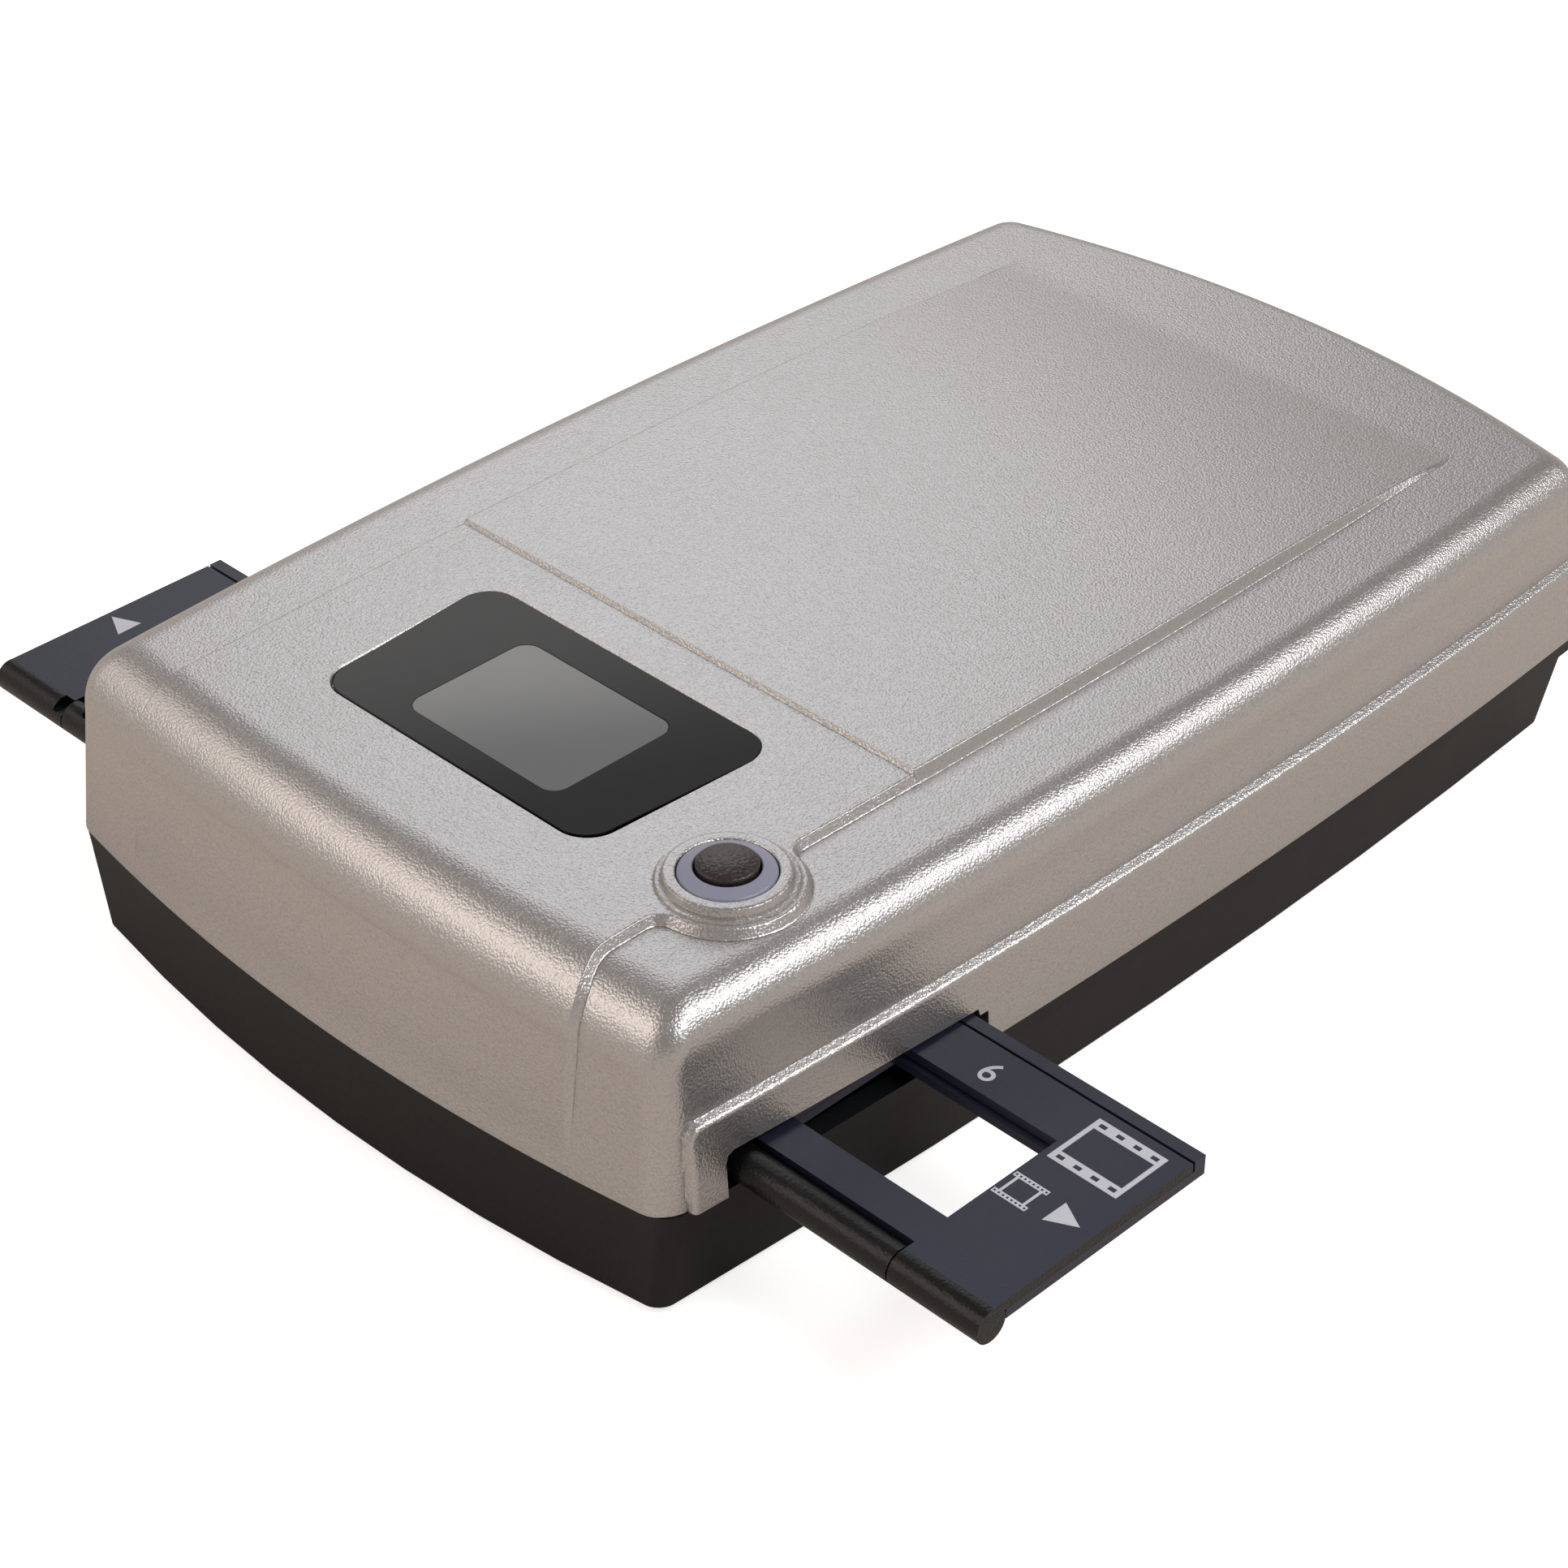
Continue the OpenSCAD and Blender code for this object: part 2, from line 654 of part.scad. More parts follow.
module lower_film_track() {
    color([0.2, 0.2, 0.2]) housed() difference() {
        union() {
            translate([-track_x, 0, 0]) rotate([90, 0, 90]) linear_extrude(2 * track_x) polygon([
                [track_front, channel_z - channel_t], [axis_y + 6.6, channel_z - channel_t],
                [axis_y + 6.6, bed_z - bed_t], [track_back, bed_z - bed_t],
                [track_back, rear_guide_z], [rail_back + 0.45, rear_guide_z],
                [rail_back + 0.45, bed_z], [axis_y + 4.9, bed_z], [axis_y + 4.9, channel_z],
                [axis_y - barrel_r - 0.6, channel_z], [axis_y - barrel_r - 0.6, front_guide_z],
                [track_front, front_guide_z]]);
            for (x = [-1, 1]) {
                translate([x * post_x, 0, 0]) {
                    box(-4, 4, track_front, track_front + 8, floor_z, channel_z - channel_t + eps);
                    box(-4, 4, track_back - 8, track_back, floor_z, bed_z - bed_t + eps);
                }
            }
            at_track_screws() translate([0, 1.6, bed_z - bed_t - 5])
                box(-5, 5, -1.6, 5, 0, rear_guide_z - bed_z + bed_t + 5);
        }
        box(-gate_x, gate_x, gate_y0, gate_y1, bed_z - 5, bed_z + 5);
        box(nose_x - 9, nose_x + 9, rail_back, pocket_y, bed_z, rear_guide_z + 1);
        at_track_screws() translate([0, 4, rear_guide_z - 8]) cylinder(r = small_screw_r + fit, h = 20);
    }
}

module upper_film_track() {
    color([0.24, 0.24, 0.24]) housed() difference() {
        union() {
            box(-track_x, track_x, track_front, track_back, upper_z, upper_z + upper_t);
            box(-track_x, track_x, track_front, axis_y - barrel_r - 0.6, front_guide_z, upper_z + eps);
            box(-track_x, track_x, rail_back + 0.45, track_back, rear_guide_z, upper_z + eps);
            at_track_screws() translate([0, 1.6, 0])
                box(-5, 5, -1.6, 5, rear_guide_z, upper_z + upper_t);
        }
        box(-gate_x, gate_x, gate_y0, gate_y1, upper_z - 5, upper_z + 5);
        at_track_screws() translate([0, 4, rear_guide_z - 1]) cylinder(r = small_screw_r + 0.2, h = 20);
    }
}

module track_screws() {
    color([0.6, 0.6, 0.6]) housed() at_track_screws() translate([0, 4, upper_z + upper_t]) mirror([0, 0, 1])
        pan_screw(small_screw_r, 2.2, 1.4, upper_z + upper_t - rear_guide_z + 6);
}

// Leaf spring with a formed nose that drops into the notches of the holder's rear edge
nose_x = 19;
pocket_y = rail_back + 1.75;

module detent_spring() {
    color([0.75, 0.75, 0.72]) housed() translate([nose_x, pocket_y, bed_z + 0.3])
        linear_extrude(2) polygon([[-8, 0], [-8, -0.35], [-3.4, -0.35], [-0.9, -1.6], [0.9, -1.6],
            [3.4, -0.35], [8, -0.35], [8, 0], [3.3, 0], [0.8, -1.25], [-0.8, -1.25], [-3.3, 0]]);
}

lamp_z = upper_z + upper_t;
lamp_h = 20;
lamp_x = 26;

module lamp_housing() {
    color([0.85, 0.85, 0.83]) housed() difference() {
        box(-lamp_x, lamp_x, gate_y0 - 5, gate_y1 + 5, lamp_z, lamp_z + lamp_h);
        box(-lamp_x + 1.6, lamp_x - 1.6, gate_y0 - 3.4, gate_y1 + 3.4, lamp_z - 1, lamp_z + lamp_h - 1.6);
    }
}

module lamp_diffuser() {
    color([0.92, 0.92, 0.9]) housed() box(-lamp_x + 1.75, lamp_x - 1.75, gate_y0 - 3.25, gate_y1 + 3.25,
        lamp_z, lamp_z + 1.5);
}

module lamp_board() {
    top = lamp_z + lamp_h - 1.6;
    color([0.9, 0.92, 0.9]) housed() {
        box(-lamp_x + 1.75, lamp_x - 1.75, gate_y0 - 3.25, gate_y1 + 3.25, top - board_t, top);
        for (x = [-15:10:15], y = [-8, 0, 8])
            translate([x, frame_y + y, top - board_t - 0.9]) linear_extrude(0.9 + eps)
                square([2.8, 2.8], center = true);
    }
}

// ---------------------------------------------------------------------------
// Chassis and drive
// ---------------------------------------------------------------------------

bearing_r = 4.5;
tab_z = rod_z + 4;

module chassis() {
    y1 = chassis_y1;
    t = chassis_t;
    color([0.7, 0.72, 0.74]) housed() difference() {
        union() {
            box(-chassis_x, chassis_x, chassis_y0, y1, chassis_z, chassis_top);
            for (x = [-chassis_x, chassis_x - t]) box(x, x + t, chassis_y0, y1, chassis_z, chassis_top + 3);
            for (x = [-1, 1]) {
                box(x * rod_x - 4, x * rod_x + 4, chassis_y0, chassis_y0 + t, chassis_z, tab_z);
                box(x * rod_x - 4, x * rod_x + 4, y1 - t, y1, chassis_z, tab_z);
            }
            box(-chassis_x, -screw_x + 7, y1 - t, y1, chassis_z, screw_z + 9);
            box(-screw_x - 7, -screw_x + 7, screw_y0, screw_y0 + t, chassis_z, screw_z + 7);
        }
        for (x = [-1, 1]) bar_y(rod_r + fit, chassis_y0 - 1, y1 + 1, x * rod_x, rod_z);
        bar_y(bearing_r + fit, screw_y0 - 1, y1 + 1, -screw_x, screw_z);
        bar_y(pinion_pitch_r + 1.4, y1 - 5, y1 + 1, pinion_x, screw_z);
        box(-bench_w / 2 - 13, bench_w / 2 + 13, chassis_y1 - 37, chassis_y1 - 15, 0, chassis_z + 5);
        at_chassis_screws() translate([0, 0, chassis_z - 1]) cylinder(r = small_screw_r + 0.2, h = 4);
    }
}

module chassis_screws() {
    color([0.6, 0.6, 0.6]) housed() at_chassis_screws() translate([0, 0, chassis_top])
        mirror([0, 0, 1]) pan_screw(small_screw_r, 2.2, 1.4, chassis_top - under_z - 1);
}

module guide_rod(side) {
    color([0.8, 0.8, 0.82]) housed()
        bar_y(rod_r, chassis_y0 - 0.4, chassis_y1 + 1, side * rod_x, rod_z);
}

module right_guide_rod() { guide_rod(1); }

module left_guide_rod() { guide_rod(-1); }

module screw_bearings() {
    color([0.72, 0.55, 0.3]) housed() for (y = [screw_y0, chassis_y1 - chassis_t]) difference() {
        union() {
            bar_y(bearing_r, y, y + chassis_t, -screw_x, screw_z);
            bar_y(bearing_r + 1, y > screw_y0 ? y - 1 : y + chassis_t,
                y > screw_y0 ? y : y + chassis_t + 1, -screw_x, screw_z);
        }
        bar_y(screw_r + fit, y - 5, y + 5, -screw_x, screw_z);
    }
}

module drive_motor() {
    color([0.75, 0.76, 0.78]) housed() {
        bar_y(motor_r, chassis_y1 - chassis_t - motor_l, chassis_y1 - chassis_t, pinion_x, screw_z);
        bar_y(2, chassis_y1 - chassis_t - motor_l - 1.5, chassis_y1 - chassis_t - motor_l + eps,
            pinion_x, screw_z);
    }
}

// Spur gear on an axis along Y; turned by phase degrees, bored to hole_r
module spur_gear(teeth, w, hole_r, phase) {
    m = gear_module;
    root = m * teeth / 2 - 1.2 * m;
    tip = m * teeth / 2 + 0.9 * m;
    step = 360 / teeth;
    rotate([-90, 0, 0]) rotate([0, 0, phase]) linear_extrude(w) difference() {
        polygon([for (i = [0:teeth - 1], k = [[root, -0.36], [tip, -0.12], [tip, 0.12], [root, 0.36]])
            k[0] * [cos((i + k[1]) * step), sin((i + k[1]) * step)]]);
        circle(r = hole_r);
    }
}

module motor_pinion() {
    color([0.8, 0.65, 0.35]) housed() {
        translate([pinion_x, gear_y - 0.5, screw_z])
            spur_gear(pinion_teeth, gear_w + 1, 0.8, 180 / pinion_teeth);
        bar_y(0.8, chassis_y1 - chassis_t + 0.3, gear_y + gear_w + 1, pinion_x, screw_z);
    }
}

module screw_gear() {
    color([0.9, 0.9, 0.85]) housed() translate([-screw_x, gear_y, screw_z])
        spur_gear(gear_teeth, gear_w, screw_r + eps, 180);
}

module lead_screw() {
    color([0.78, 0.78, 0.8]) housed()
        bar_y(screw_r, screw_y0 - 1, gear_y + gear_w + 1, -screw_x, screw_z);
}

// ---------------------------------------------------------------------------
// Scan carriage
// ---------------------------------------------------------------------------

nut_r = 4.2;
nut_l = 18;
bush_r = 3.1;
bush_l = 10;
mirror_t = 2;
mirror_l = 2 * ((path_z - bench_z - bench_t - 0.05) * 1.4142 - mirror_t);
sensor_y = chassis_y1 - 6;
lens_y = sensor_y - 68;
shoe_y = [chassis_y0 + 18.5, sensor_y - 23];

module carriage_frame() {
    w = bench_w / 2;
    color([0.3, 0.3, 0.32]) housed() difference() {
        union() {
            box(-w, w, bench_y0, bench_y1, bench_z, bench_z + bench_t);
            for (x = [-w, w - 1.5]) box(x, x + 1.5, bench_y0, bench_y1, bench_z, wall_top);
            for (y = shoe_y) box(w - 1, rod_x + 4, y, y + bush_l, rod_z - 3.4, bench_z + bench_t);
            box(-rod_x - 4, -w + 1, lens_y - 5, lens_y + 5, rod_z - 3.4, bench_z + bench_t);
            box(-screw_x - 5.2, -w + 1, nut_y - nut_l / 2 + 0.5, nut_y + nut_l / 2, bench_z, screw_z + 5.2);
            box(-9, 9, lens_y - 6, lens_y + 6, bench_z, wall_top);
            mirror_seat();
        }
        for (y = shoe_y) bar_y(bush_r + fit, y - 1, y + bush_l + 1, rod_x, rod_z);
        bar_y(rod_r + 0.08, lens_y - 6, lens_y + 6, -rod_x, rod_z);
        bar_y(nut_r + fit, nut_y - nut_l, nut_y + nut_l, -screw_x, screw_z);
        bar_y(lens_r + fit, lens_y - 10, lens_y + 10, 0, path_z);
    }
}

// Wedge behind the mirror, its face at 45 degrees
module mirror_seat() {
    foot = bench_z + bench_t - eps;
    y = frame_y + path_z - foot - mirror_t * 1.4142 - 0.03;
    h = wall_top - foot;
    translate([-bench_w / 2 + 1, 0, 0]) rotate([90, 0, 90]) linear_extrude(bench_w - 2)
        polygon([[y, foot], [y - h, wall_top], [y - h - 1.6, wall_top], [y - h - 1.6, foot]]);
}

module scan_mirror() {
    color([0.85, 0.87, 0.9]) housed() translate([0, frame_y, path_z]) rotate([-45, 0, 0])
        translate([-bench_w / 2 + 2, -mirror_l / 2, -mirror_t])
            cube([bench_w - 4, mirror_l, mirror_t]);
}

module mirror_clips() {
    color([0.75, 0.75, 0.72]) housed() for (x = [-1, 1]) translate([x * 16, frame_y, path_z])
        rotate([-45, 0, 0]) box(-2, 2, -mirror_l / 2 + 0.5, -mirror_l / 2 + 3, 0, 0.4);
}

module carriage_nut() {
    color([0.85, 0.82, 0.7]) housed() difference() {
        union() {
            bar_y(nut_r, nut_y - nut_l / 2, nut_y + nut_l / 2, -screw_x, screw_z);
            bar_y(nut_r + 1, nut_y - nut_l / 2 - 1, nut_y - nut_l / 2 + 0.5, -screw_x, screw_z);
        }
        bar_y(screw_r + fit, nut_y - nut_l, nut_y + nut_l, -screw_x, screw_z);
    }
}

module rod_bushings() {
    color([0.72, 0.55, 0.3]) housed() for (y = shoe_y) difference() {
        bar_y(bush_r, y, y + bush_l, rod_x, rod_z);
        bar_y(rod_r + fit, y - 1, y + bush_l + 1, rod_x, rod_z);
    }
}

module lens_barrel() {
    color([0.1, 0.1, 0.1]) housed() difference() {
        bar_y(lens_r, lens_y - 10, lens_y + 10, 0, path_z);
        bar_y(lens_r - 1.2, lens_y - 11, lens_y + 11, 0, path_z);
    }
}

module lens_glass() {
    color([0.7, 0.8, 0.85]) housed() for (y = [-8.5, 6.5])
        bar_y(lens_r - 1.2 - fit, lens_y + y, lens_y + y + 2, 0, path_z);
}

module sensor_board() {
    color([0.1, 0.35, 0.2]) housed() box(-bench_w / 2 + 1.6, bench_w / 2 - 1.6,
        sensor_y, sensor_y + board_t, bench_z + bench_t, wall_top);
}

module line_sensor() {
    color([0.25, 0.22, 0.2]) housed() box(-20, 20, sensor_y - 2.5, sensor_y, path_z - 3.5, path_z + 3.5);
}

// ---------------------------------------------------------------------------
// Boards and sockets
// ---------------------------------------------------------------------------

module main_board() {
    color([0.08, 0.32, 0.18]) housed() difference() {
        union() {
            box(-board_x, board_x, board_y0, board_y1, board_z, board_z + board_t);
            box(-40, -22, board_y0 + 6, board_y0 + 20, socket_z - eps, socket_z + 1.4);
            box(-12, 0, board_y0 + 6, board_y0 + 15, socket_z - eps, socket_z + 1.2);
            box(36, 48, board_y0 + 3, board_y0 + 9, socket_z - eps, socket_z + 5);
            for (x = [10, 18]) translate([x, board_y0 + 10, socket_z - eps]) cylinder(r = 3, h = 8);
        }
        at_board_screws() translate([0, 0, board_z - 1]) cylinder(r = small_screw_r + 0.2, h = 4);
    }
}

module board_screws() {
    color([0.6, 0.6, 0.6]) housed() {
        at_board_screws() translate([0, 0, board_z + board_t]) mirror([0, 0, 1])
            pan_screw(small_screw_r, 2.2, 1.4, board_z + board_t - under_z - 1);
        translate([button_x, front_y + button_y, board_level]) for (x = [-1, 1])
            translate([x * button_post_x, 0, 0]) pan_screw(small_screw_r, 2.2, 1.4, 6.5);
    }
}

module usb_socket() {
    color([0.8, 0.8, 0.82]) housed() difference() {
        box(usb_x - 6, usb_x + 6, bay_y - 16.5, bay_y, socket_z, socket_z + 10.8);
        translate([usb_x, bay_y - 9, socket_z + 5.4]) rotate([-90, 0, 0]) linear_extrude(20)
            polygon([[-4.2, 3.9], [4.2, 3.9], [4.2, -2.2], [2.6, -3.9], [-2.6, -3.9], [-4.2, -2.2]]);
    }
    color([0.9, 0.9, 0.9]) housed() box(usb_x - 2.8, usb_x + 2.8, bay_y - 9.01, bay_y - 1.2,
        socket_z + 3.8, socket_z + 7);
}

module power_jack() {
    color([0.12, 0.12, 0.12]) housed() translate([jack_x, bay_y, socket_z + 5.5]) {
        difference() {
            box(-4.5, 4.5, -14, 0, -5.5, 5.4);
            translate([0, -10, 0]) rotate([-90, 0, 0]) cylinder(r = 3, h = 20);
        }
        translate([0, -10.01, 0]) rotate([-90, 0, 0]) cylinder(r = 1, h = 8);
    }
}

rocker_r = 8;
rocker_back = 6.2;

module power_switch() {
    color([0.14, 0.14, 0.14]) housed() translate([rocker_x, bay_y, rocker_z]) difference() {
        union() {
            box(-7.6, 7.6, 0, 1, -5.1, 5.1);
            box(-6.75, 6.75, -11, eps, -4.25, 4.25);
            for (x = [-4, 4]) box(x - 0.4, x + 0.4, -15, -11 + eps, -2, 2);
        }
        box(-6, 6, -9.6, 3, -3.5, 3.5);
    }
}

module power_rocker() {
    color([0.1, 0.1, 0.1]) housed() translate([rocker_x, bay_y - rocker_back, rocker_z])
        rotate([0, 0, -rocker_tilt]) linear_extrude(6.8, center = true) intersection() {
            circle(r = rocker_r);
            polygon([[-2.2, -3], [2.2, -3], [5.1, 5], [5.1, 7.6], [0, 7], [-5.1, 7.6], [-5.1, 5]]);
        }
}

// ---------------------------------------------------------------------------
// Film holder
// ---------------------------------------------------------------------------

lid_right_x = holder_x1 - knuckle_right;
lid_left_x = holder_x0 + knuckle_left;
leaf_z = holder_z - lid_t;

// The film windows: width across the film w, between heights z0 and z1
module windows(w, length, z0, z1) {
    for (i = [0:frames - 1]) translate([holder_x1 - first_frame - i * frame_pitch, frame_y, z0])
        linear_extrude(z1 - z0) square([length, w], center = true);
}

module holder_base() {
    x0 = lid_left_x + knuckle_gap;
    x1 = lid_right_x - knuckle_gap;
    color([0.15, 0.15, 0.16]) difference() {
        union() {
            box(holder_x0, holder_x1, base_front, rail_back, holder_low, leaf_z - leaf_gap);
            box(x0, x1, axis_y, base_front + 1, holder_low, leaf_z - leaf_gap);
            box(holder_x0, holder_x1, rail_back - rail_w, rail_back, holder_low, holder_z + 0.1);
            bar_x(barrel_r, x0, x1, axis_y, axis_z);
        }
        windows(gate_w, window_l + 0.4, 0, 100);
        box(holder_x0 + 14, holder_x1 - 14, frame_y - 17.6, frame_y + 17.6, leaf_z - 0.35, leaf_z + 1);
        for (i = [0:frames - 1]) translate([holder_x1 - first_frame - i * frame_pitch + nose_x, rail_back, 0])
            linear_extrude(leaf_z - 0.5) polygon([[-2.2, 0.5], [-1, -0.6], [1, -0.6], [2.2, 0.5]]);
        bar_x(pin_r + fit, x0 - 1, x0 + 9, axis_y, axis_z);
        bar_x(pin_r + fit, x1 - 9, x1 + 1, axis_y, axis_z);
        translate([x0 + 5.5, axis_y - 0.4, axis_z]) linear_extrude(10) rounded_plan(2.8, 2.5, 1.2);
    }
}

module holder_lid() {
    color([0.19, 0.19, 0.21]) difference() {
        union() {
            box(holder_x0, holder_x1, lid_front, lid_back, leaf_z, holder_z);
            for (x = [[lid_right_x, holder_x1], [holder_x0, lid_left_x]]) {
                bar_x(barrel_r, x[0], x[1], axis_y, axis_z);
                box(x[0], x[1], axis_y, lid_front + 1, leaf_z, holder_z);
            }
        }
        windows(window_w, window_l, 0, 100);
        bar_x(pin_r + fit, lid_right_x - 1, lid_right_x + 9, axis_y, axis_z);
        bar_x(pin_r + fit, lid_left_x - 9, lid_left_x + 1, axis_y, axis_z);
        box(lid_left_x - 2.7, lid_left_x + 0.01, axis_y - 4, axis_y + 0.5, axis_z + pin_r + 0.7, 100);
    }
}

module hinge_pins() {
    color([0.75, 0.75, 0.75]) {
        bar_x(pin_r, lid_right_x - 8, lid_right_x + 8, axis_y, axis_z);
        bar_x(pin_r, lid_left_x - 8, lid_left_x + 8, axis_y, axis_z);
    }
}

base_shell();
top_cover();
window_plate();
light_window();
button_light_ring();
scan_button();
button_board();
button_switch();
rubber_feet();
case_screws();
lower_film_track();
upper_film_track();
track_screws();
detent_spring();
lamp_housing();
lamp_diffuser();
lamp_board();
chassis();
chassis_screws();
left_guide_rod();
right_guide_rod();
screw_bearings();
drive_motor();
motor_pinion();
lead_screw();
screw_gear();
carriage_frame();
carriage_nut();
rod_bushings();
scan_mirror();
mirror_clips();
lens_barrel();
lens_glass();
sensor_board();
line_sensor();
main_board();
board_screws();
usb_socket();
power_jack();
power_switch();
power_rocker();
holder_base();
holder_lid();
hinge_pins();
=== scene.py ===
"""Dresses the film strip scanner: fine forms, finishes, studio and camera.

Sizes are in millimetres in the housing's own frame until a mesh is made: its middle plane is
x = 0, and the housing stands HOUSING_X to the left of the model's origin.
"""

from __future__ import annotations

import json
import logging
import math
from collections.abc import Callable
from dataclasses import dataclass
from enum import Enum

import bmesh
import bpy
import numpy as np
from bpy.types import ID, Material, Mesh, Node, NodeSocket, NodeTree, Object
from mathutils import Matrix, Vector, geometry

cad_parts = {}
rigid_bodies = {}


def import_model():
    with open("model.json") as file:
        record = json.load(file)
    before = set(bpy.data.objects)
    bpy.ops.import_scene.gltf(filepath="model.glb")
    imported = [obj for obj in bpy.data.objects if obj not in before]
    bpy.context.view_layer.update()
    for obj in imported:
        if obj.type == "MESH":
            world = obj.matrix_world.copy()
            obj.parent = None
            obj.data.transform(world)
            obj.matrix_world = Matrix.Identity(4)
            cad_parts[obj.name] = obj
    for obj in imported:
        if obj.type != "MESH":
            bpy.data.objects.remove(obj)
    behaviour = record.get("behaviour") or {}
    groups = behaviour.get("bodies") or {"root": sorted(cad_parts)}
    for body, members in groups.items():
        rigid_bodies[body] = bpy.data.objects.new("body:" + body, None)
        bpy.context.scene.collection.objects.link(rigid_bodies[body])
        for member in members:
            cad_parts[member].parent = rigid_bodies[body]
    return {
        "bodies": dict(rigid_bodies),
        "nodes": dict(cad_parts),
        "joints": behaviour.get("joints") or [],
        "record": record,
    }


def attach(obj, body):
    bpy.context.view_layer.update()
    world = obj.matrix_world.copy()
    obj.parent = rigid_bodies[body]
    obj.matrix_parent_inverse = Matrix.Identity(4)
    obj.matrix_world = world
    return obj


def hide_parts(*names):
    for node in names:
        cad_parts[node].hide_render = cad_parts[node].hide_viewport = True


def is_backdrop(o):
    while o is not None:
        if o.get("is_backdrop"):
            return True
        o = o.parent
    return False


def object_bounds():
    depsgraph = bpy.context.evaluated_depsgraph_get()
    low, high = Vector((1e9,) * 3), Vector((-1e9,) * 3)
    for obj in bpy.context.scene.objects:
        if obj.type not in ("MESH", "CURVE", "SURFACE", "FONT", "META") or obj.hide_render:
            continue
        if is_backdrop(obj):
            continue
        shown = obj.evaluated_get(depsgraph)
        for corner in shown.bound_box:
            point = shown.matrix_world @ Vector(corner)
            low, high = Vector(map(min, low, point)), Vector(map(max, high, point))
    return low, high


Array = np.ndarray
Pair = tuple[float, float]
Triple = tuple[float, float, float]
# The middle of a fillet in plan, and y where it leaves the band's edge.
Fillet = tuple[Array, float]

LOG = logging.getLogger("scanner")
MM = 0.001
HOUSING_X = -6.15
# Points nearer than this, in millimetres, are one point.
DOUBLES = 0.0005
# Points of the cover further forward than this lie on its front wall.
FRONT_Y = -100.0


class Coat(Enum):
    """How a surface was finished, which picks its pattern."""

    PEBBLED = "pebbled"
    MOULDED = "moulded"
    POLISHED = "polished"
    BRUSHED = "brushed"


def linear(hex_colour: str) -> Triple:
    """Turns an sRGB hex value into linear red, green and blue.

    Args:
        hex_colour: six hex digits, such as "C9BDB0".

    Returns:
        The linear colour.
    """
    parts = [int(hex_colour[i : i + 2], 16) / 255 for i in (0, 2, 4)]
    red, green, blue = [c / 12.92 if c <= 0.04045 else ((c + 0.055) / 1.055) ** 2.4 for c in parts]
    return red, green, blue


def add_node(
    tree: NodeTree,
    kind: str,
    inputs: dict[str | int, object] | None = None,
    **settings: object,
) -> Node:
    """Adds a node with its settings, values and links.

    Args:
        tree: the tree that gets the node.
        kind: the node's type name.
        inputs: input name or number to a value, or to the socket that feeds it.
        settings: attributes of the node.

    Returns:
        The new node.
    """
    node = tree.nodes.new(kind)
    for key, value in settings.items():
        setattr(node, key, value)
    for key, value in (inputs or {}).items():
        if isinstance(value, NodeSocket):
            tree.links.new(value, node.inputs[key])
        else:
            node.inputs[key].default_value = value
    return node


# ---------------------------------------------------------------------------
# Finishes
# ---------------------------------------------------------------------------


